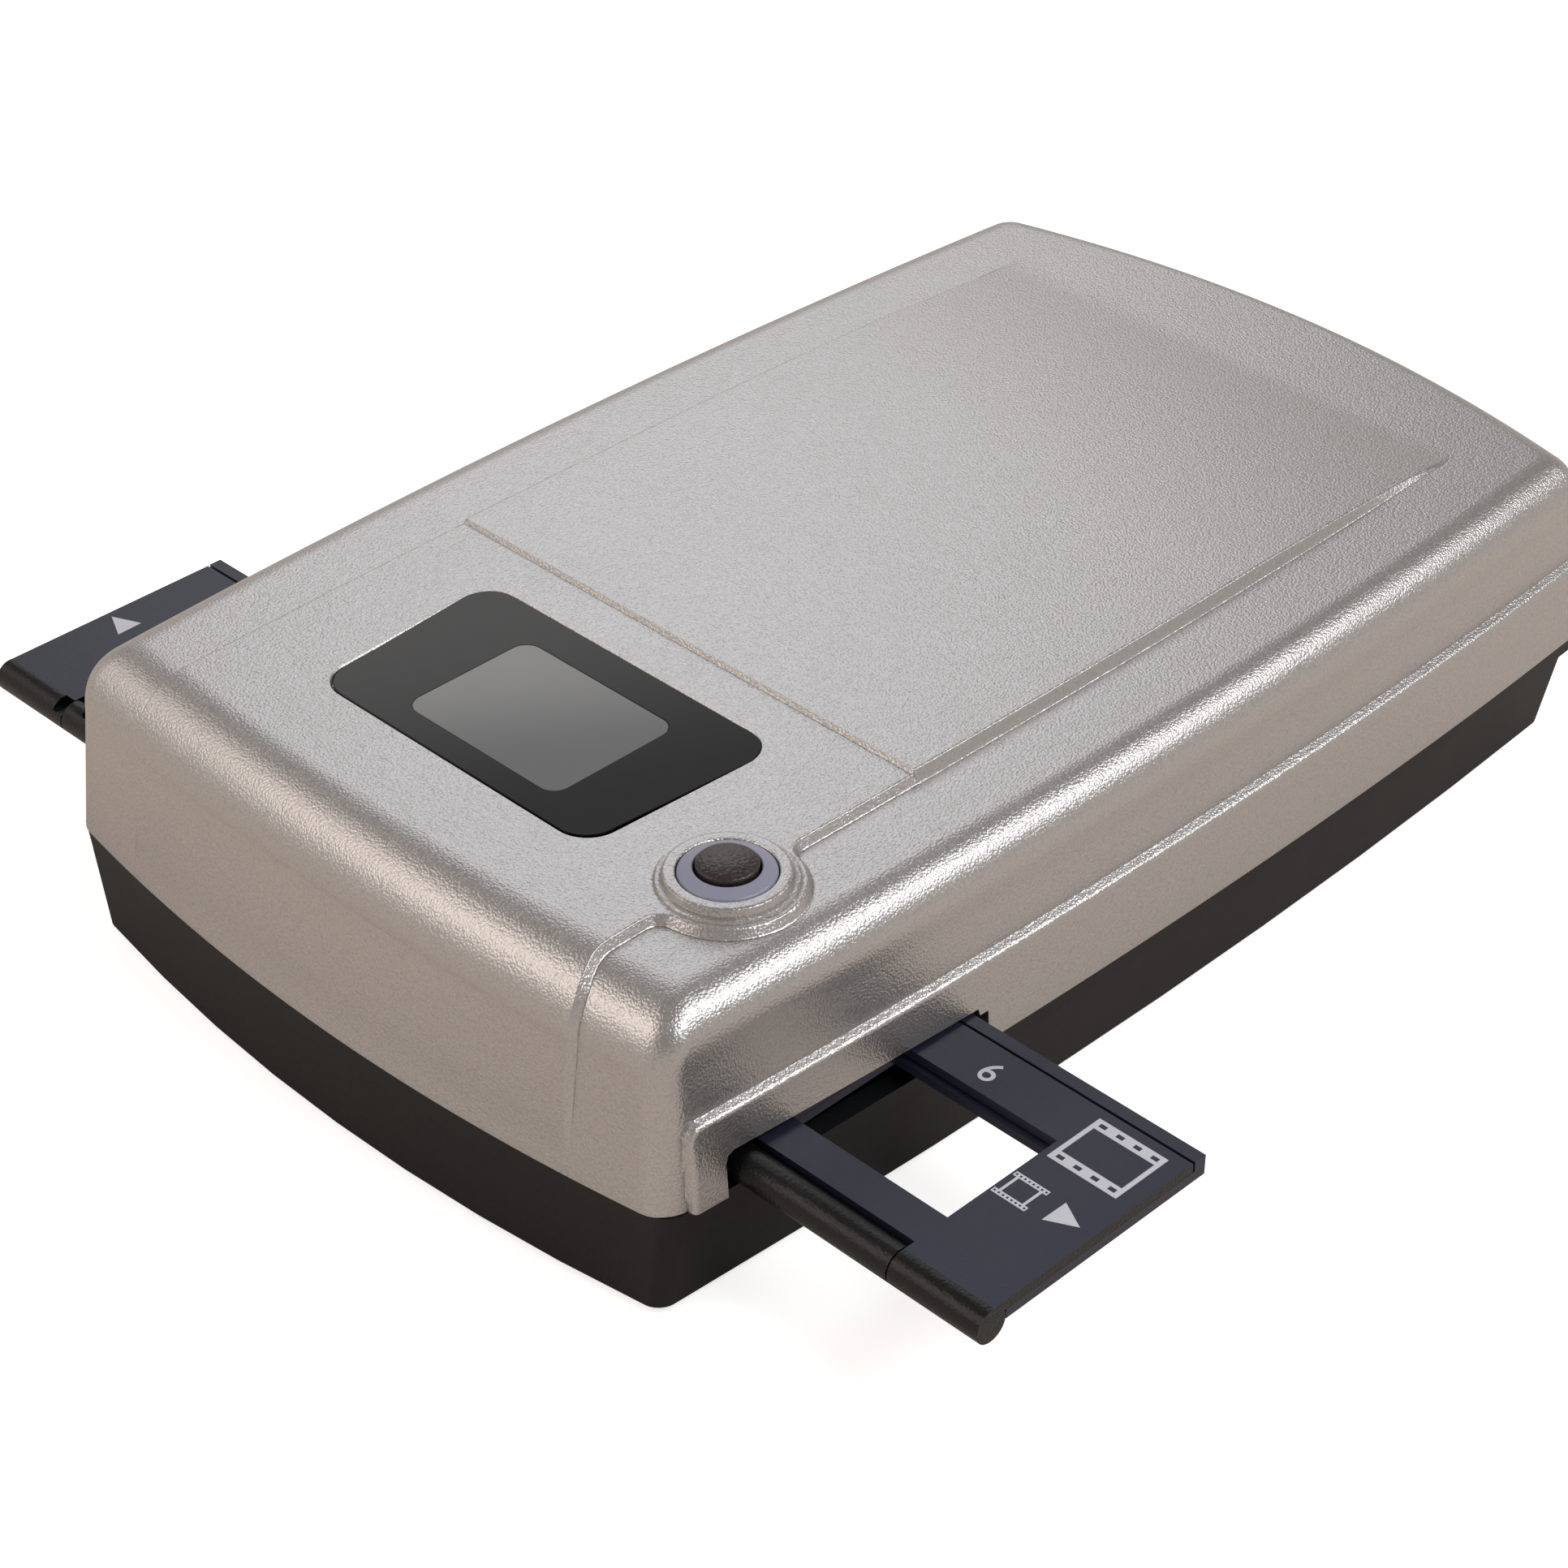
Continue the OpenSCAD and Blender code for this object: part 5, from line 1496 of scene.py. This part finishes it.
@dataclass
class CaseScrews:
    """The four long cross-head screws under the base, laid out by a geometry node tree."""

    places: tuple[Pair, ...] = (
        (-40.0, -123.6), (40.0, -123.6), (-62.0, 115.0), (62.0, 115.0),
    )
    seat_z: float = 7.0
    head_r: float = 2.8
    head_h: float = 2.0
    shank_r: float = 1.5
    shank_l: float = 27.9
    slot_l: float = 3.4
    slot_w: float = 0.75
    slot_h: float = 1.1
    edge: float = 0.3

    def build(self) -> Object:
        """Builds the screws as one piece.

        Returns:
            The screws.
        """
        mesh = bpy.data.meshes.new("case_screws_piece")
        seats = [((x + HOUSING_X) * MM, y * MM, self.seat_z * MM) for x, y in self.places]
        mesh.from_pydata(seats, [], [])
        obj = new_object("case_screws_piece", mesh)
        tree = bpy.data.node_groups.new("cross_head_screws", "GeometryNodeTree")
        tree.interface.new_socket("Places", in_out="INPUT", socket_type="NodeSocketGeometry")
        values = {
            "Head radius": self.head_r * MM, "Head height": self.head_h * MM,
            "Shank radius": self.shank_r * MM, "Shank length": self.shank_l * MM,
            "Slot length": self.slot_l * MM, "Slot width": self.slot_w * MM,
            "Slot depth": self.slot_h * MM,
        }
        sockets = {
            name: tree.interface.new_socket(name, in_out="INPUT", socket_type="NodeSocketFloat").identifier
            for name in values
        }
        finish = tree.interface.new_socket("Finish", in_out="INPUT", socket_type="NodeSocketMaterial")
        self._wire(tree)
        layout = obj.modifiers.new("layout", "NODES")
        layout.node_group = tree
        for name, value in values.items():
            layout[sockets[name]] = value
        layout[finish.identifier] = ZINC_STEEL.material()
        apply_modifiers(obj)
        round_edges(obj, self.edge, 3, 60.0, 34.0)
        return settle(obj, ("case_screws",), "body")

    @staticmethod
    def _wire(tree: NodeTree) -> None:
        """Wires one screw, with its cross recess below, and sets it on every point.

        Args:
            tree: the tree, which has its named inputs already.
        """
        tree.interface.new_socket("Screws", in_out="OUTPUT", socket_type="NodeSocketGeometry")
        given = add_node(tree, "NodeGroupInput").outputs

        def moved(part: NodeSocket, by: NodeSocket, share: float, turn: float = 0.0) -> NodeSocket:
            """Returns a part moved up by a share of a length and turned round the axis.

            Args:
                part: the part's socket.
                by: the socket of the length.
                share: the share of it.
                turn: the angle in radians.

            Returns:
                The moved part's socket.
            """
            rise = add_node(tree, "ShaderNodeMath", {0: by, 1: share}, operation="MULTIPLY").outputs[0]
            place = add_node(tree, "ShaderNodeCombineXYZ", {"Z": rise}).outputs[0]
            values = {"Geometry": part, "Translation": place, "Rotation": (0.0, 0.0, turn)}
            return add_node(tree, "GeometryNodeTransform", values).outputs[0]

        sizes = {"Vertices": 40, "Radius": given["Head radius"], "Depth": given["Head height"]}
        bar = add_node(tree, "GeometryNodeMeshCylinder", sizes).outputs["Mesh"]
        head = moved(bar, given["Head height"], -0.5)
        sizes = {"Vertices": 28, "Radius": given["Shank radius"], "Depth": given["Shank length"]}
        bar = add_node(tree, "GeometryNodeMeshCylinder", sizes).outputs["Mesh"]
        shank = moved(bar, given["Shank length"], 0.499)
        twice = {0: given["Slot depth"], 1: 2.0}
        depth = add_node(tree, "ShaderNodeMath", twice, operation="MULTIPLY").outputs[0]
        box = {"X": given["Slot length"], "Y": given["Slot width"], "Z": depth}
        block = {"Size": add_node(tree, "ShaderNodeCombineXYZ", box).outputs[0]}
        slot = add_node(tree, "GeometryNodeMeshCube", block).outputs["Mesh"]
        for turn in (0.0, math.pi / 2):
            cutter = moved(slot, given["Head height"], -1.0, turn)
            cut = {"Mesh 1": head, "Mesh 2": cutter}
            head = add_node(tree, "GeometryNodeMeshBoolean", cut, operation="DIFFERENCE").outputs[0]
        screw = add_node(tree, "GeometryNodeJoinGeometry", {0: head})
        tree.links.new(shank, screw.inputs[0])
        laid = {"Points": given["Places"], "Instance": screw.outputs[0]}
        rows = add_node(tree, "GeometryNodeInstanceOnPoints", laid).outputs[0]
        real = add_node(tree, "GeometryNodeRealizeInstances", {0: rows}).outputs[0]
        dressed = {"Geometry": real, "Material": given["Finish"]}
        done = add_node(tree, "GeometryNodeSetMaterial", dressed).outputs[0]
        add_node(tree, "NodeGroupOutput", {0: done})


# ---------------------------------------------------------------------------
# Film holder
# ---------------------------------------------------------------------------


def box_loop(x0: float, x1: float, y0: float, y1: float) -> Array:
    """Returns a rectangle's corners, anticlockwise."""
    return np.array([(x0, y0), (x1, y0), (x1, y1), (x0, y1)])


@dataclass(frozen=True)
class Pictogram:
    """A strip of film as a line drawing: two perforated edges and two frame lines."""

    x0: float
    x1: float
    y0: float
    y1: float
    edge: float
    holes: int
    hole: Pair
    line: float
    inset: float

    def draw(self, ink: "Ink") -> None:
        """Draws the strip.

        Args:
            ink: the print that gets the shapes.
        """
        pitch = (self.x1 - self.x0) / self.holes
        for low in (self.y0, self.y1 - self.edge):
            middle = low + self.edge / 2
            gaps = []
            for k in range(self.holes):
                x = self.x0 + pitch * (k + 0.5)
                w, h = self.hole[0] / 2, self.hole[1] / 2
                gaps.append(box_loop(x - w, x + w, middle - h, middle + h))
            ink.slab(box_loop(self.x0, self.x1, low, low + self.edge), gaps)
        for x in (self.x0 + self.inset, self.x1 - self.inset - self.line):
            ink.slab(box_loop(x, x + self.line, self.y0 + self.edge, self.y1 - self.edge), [])


class Ink:
    """Collects flat printed shapes on a level face."""

    def __init__(self, face_z: float, thickness: float) -> None:
        """Starts an empty print.

        Args:
            face_z: height of the printed face.
            thickness: thickness of the ink.
        """
        self.draft = Draft()
        self.low = face_z
        self.high = face_z + thickness

    def slab(self, outline: Array, holes: list[Array]) -> None:
        """Adds one closed flat shape with its holes.

        Args:
            outline: the outer loop, anticlockwise.
            holes: the holes' loops, anticlockwise.
        """
        lows, highs = [], []
        for loop in [outline] + holes:
            rings = self.draft.add(np.array([level(loop, self.low), level(loop, self.high)]))
            lows.append(rings[0])
            highs.append(rings[1])
            self.draft.skin(rings if loop is outline else rings[:, ::-1])
        plan = self.draft.plan()
        self.draft.fill(highs, plan, True)
        self.draft.fill(lows, plan, False)

    def digit(self, text: str, centre: Pair, height: float) -> None:
        """Adds one digit of the built-in font.

        Args:
            text: the digit.
            centre: its middle.
            height: its height.
        """
        curve = bpy.data.curves.new("digit", "FONT")
        curve.body = text
        curve.extrude = 0.5
        curve.resolution_u = 8
        # The print is a little bolder than the font.
        curve.offset = 0.004
        holder = new_object("digit", curve)
        graph = bpy.context.evaluated_depsgraph_get()
        graph.update()
        mesh = bpy.data.meshes.new_from_object(holder.evaluated_get(graph))
        points = np.array([tuple(v.co) for v in mesh.vertices])
        faces = [tuple(f.vertices) for f in mesh.polygons]
        bpy.data.objects.remove(holder)
        bpy.data.meshes.remove(mesh)
        low, high = points.min(axis=0), points.max(axis=0)
        scale = height / (high[1] - low[1])
        placed = (points - (low + high) / 2) * (scale, scale, 0.0) + (centre[0], centre[1], 0.0)
        placed[:, 2] = np.where(points[:, 2] > 0, self.high, self.low)
        numbers = self.draft.add(placed)
        self.draft.faces += [tuple(int(numbers[i]) for i in face) for face in faces]


@dataclass
class FilmHolder:
    """The sliding film holder: both halves, the hinge pins and the lid's white prints."""

    top_z: float = 31.85
    ink: float = 0.02
    barrel_y: float = -109.4
    first_number: Pair = (91.75, -69.2)
    number_height: float = 5.3
    pitch: float = 38.0
    frames: int = 6
    large: Pictogram = Pictogram(112.85, 127.95, -78.6, -65.2, 2.6, 4, (1.5, 0.95), 0.95, 0.0)
    small_right: Pictogram = Pictogram(112.0, 119.4, -91.5, -84.9, 1.15, 8, (0.45, 0.45), 0.55, 0.85)
    small_left: Pictogram = Pictogram(-120.3, -112.9, -91.8, -85.2, 1.15, 8, (0.45, 0.45), 0.55, 0.85)
    arrows: tuple[tuple[Pair, ...], ...] = (
        ((122.75, -90.9), (128.45, -87.98), (122.85, -85.05)),
        ((-129.85, -88.65), (-123.6, -91.67), (-123.75, -85.9)),
    )

    def build(self, frame: dict) -> list[Object]:
        """Builds the halves, the pins and the prints.

        Args:
            frame: the loaded frame.

        Returns:
            The four pieces.
        """
        halves = [
            Copy("holder_base", HOLDER_ABS, "holder_plastic", "film_holder", 0.2).build(frame),
            Copy("holder_lid", HOLDER_ABS, "lid_plastic", "film_holder", 0.22, 3).build(frame),
        ]
        for half in halves:
            half.data.materials.append(GRAINED_ABS.material())
            for face in half.data.polygons:
                if face.center.y < self.barrel_y * MM:
                    face.material_index = 1
        pins = Copy("hinge_pins", GROUND_STEEL, "rod_steel", "film_holder", 0.15).build(frame)
        return halves + [pins, self._prints()]

    def _prints(self) -> Object:
        """Builds the frame numbers, the film pictograms and the arrows.

        Returns:
            The prints as one piece.
        """
        ink = Ink(self.top_z, self.ink)
        for shape in (self.large, self.small_right, self.small_left):
            shape.draw(ink)
        for arrow in self.arrows:
            ink.slab(np.array(arrow), [])
        x, y = self.first_number
        for k in range(self.frames):
            ink.digit(str(self.frames - k), (x - self.pitch * k, y), self.number_height)
        prints = ink.draft.make("holder_prints", WHITE_INK, shift=0.0)
        return settle(prints, (), "film_holder")


# ---------------------------------------------------------------------------
# Studio
# ---------------------------------------------------------------------------


@dataclass(frozen=True)
class Softbox:
    """One square light: its direction, distance, size and power."""

    name: str
    azimuth: float
    elevation: float
    distance: float
    size: float
    power: float
    colour: str = "FFFFFF"


def heading(azimuth: float, elevation: float) -> Vector:
    """Returns the direction towards a bearing; bearing 0 lies in front, 90 to the right."""
    a, e = math.radians(azimuth), math.radians(elevation)
    return Vector((math.sin(a) * math.cos(e), -math.cos(a) * math.cos(e), math.sin(e)))


@dataclass
class Studio:
    """Camera, lights, floor and world; sizes here are in metres."""

    target: Triple = (0.0215, -0.04873, 0.0465)
    azimuth: float = 44.97
    elevation: float = 35.41
    distance: float = 0.6864
    lens: float = 86.6
    floor_size: float = 12.0
    horizon: Triple = (0.72, 0.665, 0.61)
    overhead: Triple = (0.33, 0.305, 0.285)
    haze: Pair = (0.12, 0.38)
    floor_glow: float = 0.7
    floor_white: Triple = (0.85, 0.85, 0.85)
    floor_mirrored: Triple = (0.79, 0.715, 0.65)
    lights: tuple[Softbox, ...] = (
        Softbox("sky_softbox", 229.0, 37.0, 1.3, 0.7, 1.9, "F6FAFF"),
        Softbox("right_rim_softbox", 139.0, 41.0, 1.3, 0.4, 3.1),
        Softbox("front_rim_softbox", -28.0, 35.0, 1.2, 0.7, 2.9, "FFF1E6"),
        Softbox("front_left_softbox", -64.0, 33.0, 1.2, 0.55, 0.8, "FFF1E6"),
        Softbox("right_wash", 100.0, 50.0, 1.2, 0.5, 4.3),
    )

    def build(self) -> None:
        """Sets up the whole studio."""
        self._camera()
        for light in self.lights:
            self._light(light)
        self._floor()
        self._world()
        bpy.context.scene.view_settings.view_transform = "Standard"

    def _aimed(self, name: str, data: ID, azimuth: float, elevation: float, distance: float) -> Object:
        """Adds a camera or light that looks at the target.

        Args:
            name: its name.
            data: its camera or light.
            azimuth: its bearing from the target.
            elevation: its angle above the target.
            distance: its distance from the target.

        Returns:
            The new object.
        """
        back = heading(azimuth, elevation)
        obj = new_object(name, data)
        obj.location = Vector(self.target) + back * distance
        obj.rotation_mode = "QUATERNION"
        obj.rotation_quaternion = (-back).to_track_quat("-Z", "Y")
        return obj

    def _camera(self) -> None:
        """Adds the camera."""
        data = bpy.data.cameras.new("camera")
        data.lens = self.lens
        data.sensor_width = 36.0
        camera = self._aimed("camera", data, self.azimuth, self.elevation, self.distance)
        bpy.context.scene.camera = camera

    def _light(self, box: Softbox) -> None:
        """Adds one softbox.

        Args:
            box: the softbox's values.
        """
        data = bpy.data.lights.new(box.name, "AREA")
        data.energy = box.power
        data.size = box.size
        data.color = linear(box.colour)
        self._aimed(box.name, data, box.azimuth, box.elevation, box.distance)

    def _floor(self) -> None:
        """Adds the white floor, which glows for the camera only and keeps the shadow."""
        half = self.floor_size / 2
        mesh = bpy.data.meshes.new("studio_floor")
        corners = [(-half, -half, 0), (half, -half, 0), (half, half, 0), (-half, half, 0)]
        mesh.from_pydata(corners, [], [(0, 1, 2, 3)])
        floor = new_object("studio_floor", mesh)
        paper = bpy.data.materials.new("white_paper")
        paper.use_nodes = True
        tree = paper.node_tree
        tree.nodes.clear()
        path = add_node(tree, "ShaderNodeLightPath")
        glow = add_node(
            tree, "ShaderNodeMath", {0: path.outputs["Is Camera Ray"], 1: self.floor_glow},
            operation="MULTIPLY",
        )
        shine = add_node(tree, "ShaderNodeEmission", {"Strength": glow.outputs[0]})
        paper_white, mirrored = (*self.floor_white, 1.0), (*self.floor_mirrored, 1.0)
        shades = {0: path.outputs["Is Glossy Ray"], 6: paper_white, 7: mirrored}
        paint = add_node(tree, "ShaderNodeMix", shades, data_type="RGBA")
        matt = add_node(tree, "ShaderNodeBsdfDiffuse", {"Color": paint.outputs[2]})
        both = add_node(tree, "ShaderNodeAddShader", {0: shine.outputs[0], 1: matt.outputs[0]})
        add_node(tree, "ShaderNodeOutputMaterial", {"Surface": both.outputs[0]})
        mesh.materials.append(paper)
        floor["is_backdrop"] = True

    def _world(self) -> None:
        """Adds a world that is lighter and warmer towards the horizon, and white to the camera."""
        world = bpy.data.worlds.new("studio_world")
        bpy.context.scene.world = world
        world.use_nodes = True
        tree = world.node_tree
        way = add_node(tree, "ShaderNodeTexCoord").outputs["Generated"]
        height = add_node(tree, "ShaderNodeSeparateXYZ", {0: way}).outputs["Z"]
        low, high = self.haze
        share = add_node(
            tree, "ShaderNodeMapRange", {"Value": height, "From Min": low, "From Max": high},
            interpolation_type="SMOOTHSTEP",
        ).outputs["Result"]
        shades = {0: share, 6: (*self.horizon, 1.0), 7: (*self.overhead, 1.0)}
        colour = add_node(tree, "ShaderNodeMix", shades, data_type="RGBA").outputs[2]
        seen = add_node(tree, "ShaderNodeLightPath").outputs["Is Camera Ray"]
        ends = {0: seen, 6: colour, 7: (1.0, 1.0, 1.0, 1.0)}
        shown = add_node(tree, "ShaderNodeMix", ends, data_type="RGBA").outputs[2]
        tree.links.new(shown, tree.nodes["Background"].inputs["Color"])
        tree.nodes["Background"].inputs["Strength"].default_value = 1.0


# ---------------------------------------------------------------------------
# Assembly
# ---------------------------------------------------------------------------

# Pieces that keep the CAD's form, with their edges rounded.
COPIES = (
    Copy("base_shell", BLACK_ABS, "base_plastic", radius=0.3),
    Copy("window_plate", SMOKED_ACRYLIC, "plate_gloss", radius=0.15, segments=3),
    Copy("light_window", FROSTED_PANE, "window_pane", radius=0.1),
    Copy("rubber_feet", RUBBER, "foot_rubber", radius=0.3),
    Copy("usb_socket", ZINC_STEEL, "socket_shell", radius=0.15),
    Copy("power_jack", BLACK_ABS, "black_plastic", radius=0.2),
    Copy("power_switch", BLACK_ABS, "black_plastic", radius=0.2),
    Copy("power_rocker", CAP_ABS, "black_plastic", "power_rocker", radius=0.3),
)

# Pieces inside the housing, which keep the CAD's mesh.
INNER = {
    CAP_ABS: ("button_switch", "lens_barrel", "lamp_housing", "carriage_frame"),
    BOARD_LAMINATE: ("button_board", "lamp_board", "sensor_board", "main_board"),
    ZINC_STEEL: ("track_screws", "chassis_screws", "board_screws", "detent_spring",
                 "chassis", "mirror_clips", "drive_motor"),
    BLACK_ABS: ("lower_film_track", "upper_film_track", "line_sensor"),
    GROUND_STEEL: ("left_guide_rod", "right_guide_rod", "lead_screw"),
    BRONZE: ("screw_bearings", "rod_bushings"),
    BRASS: ("motor_pinion",),
    NYLON: ("screw_gear", "carriage_nut"),
    WHITE_ABS: ("lamp_diffuser",),
    SILVERED_GLASS: ("scan_mirror",),
    COATED_GLASS: ("lens_glass",),
}


def write_size(size: dict[str, list[list[float]]], moment: str) -> None:
    """Args:
        size: the boxes so far; the new box is added.
        moment: "before" or "after".
    """
    size[moment] = [[float(v) for v in corner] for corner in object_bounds()]


def dress_inner(frame: dict) -> None:
    """Gives the pieces inside the housing their finishes.

    Args:
        frame: the loaded frame.
    """
    for finish, names in INNER.items():
        for name in names:
            materials = frame["nodes"][name].data.materials
            materials.clear()
            materials.append(finish.material())
            LOG.info("dressed %s", name)


def main() -> None:
    """Builds the pieces in order, then the studio."""
    logging.basicConfig(level=logging.INFO, format="%(name)s: %(message)s")
    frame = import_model()
    size: dict[str, list[list[float]]] = {}
    write_size(size, "before")
    pieces = [Cover().build(Pocket())]
    pieces += ScanButton().build()
    pieces += FilmHolder().build(frame)
    pieces.append(CaseScrews().build())
    pieces += [copy.build(frame) for copy in COPIES]
    for piece in pieces:
        LOG.info("made %s, %d faces", piece.name, len(piece.data.polygons))
    dress_inner(frame)
    Studio().build()
    write_size(size, "after")


if __name__ == "__main__":
    main()
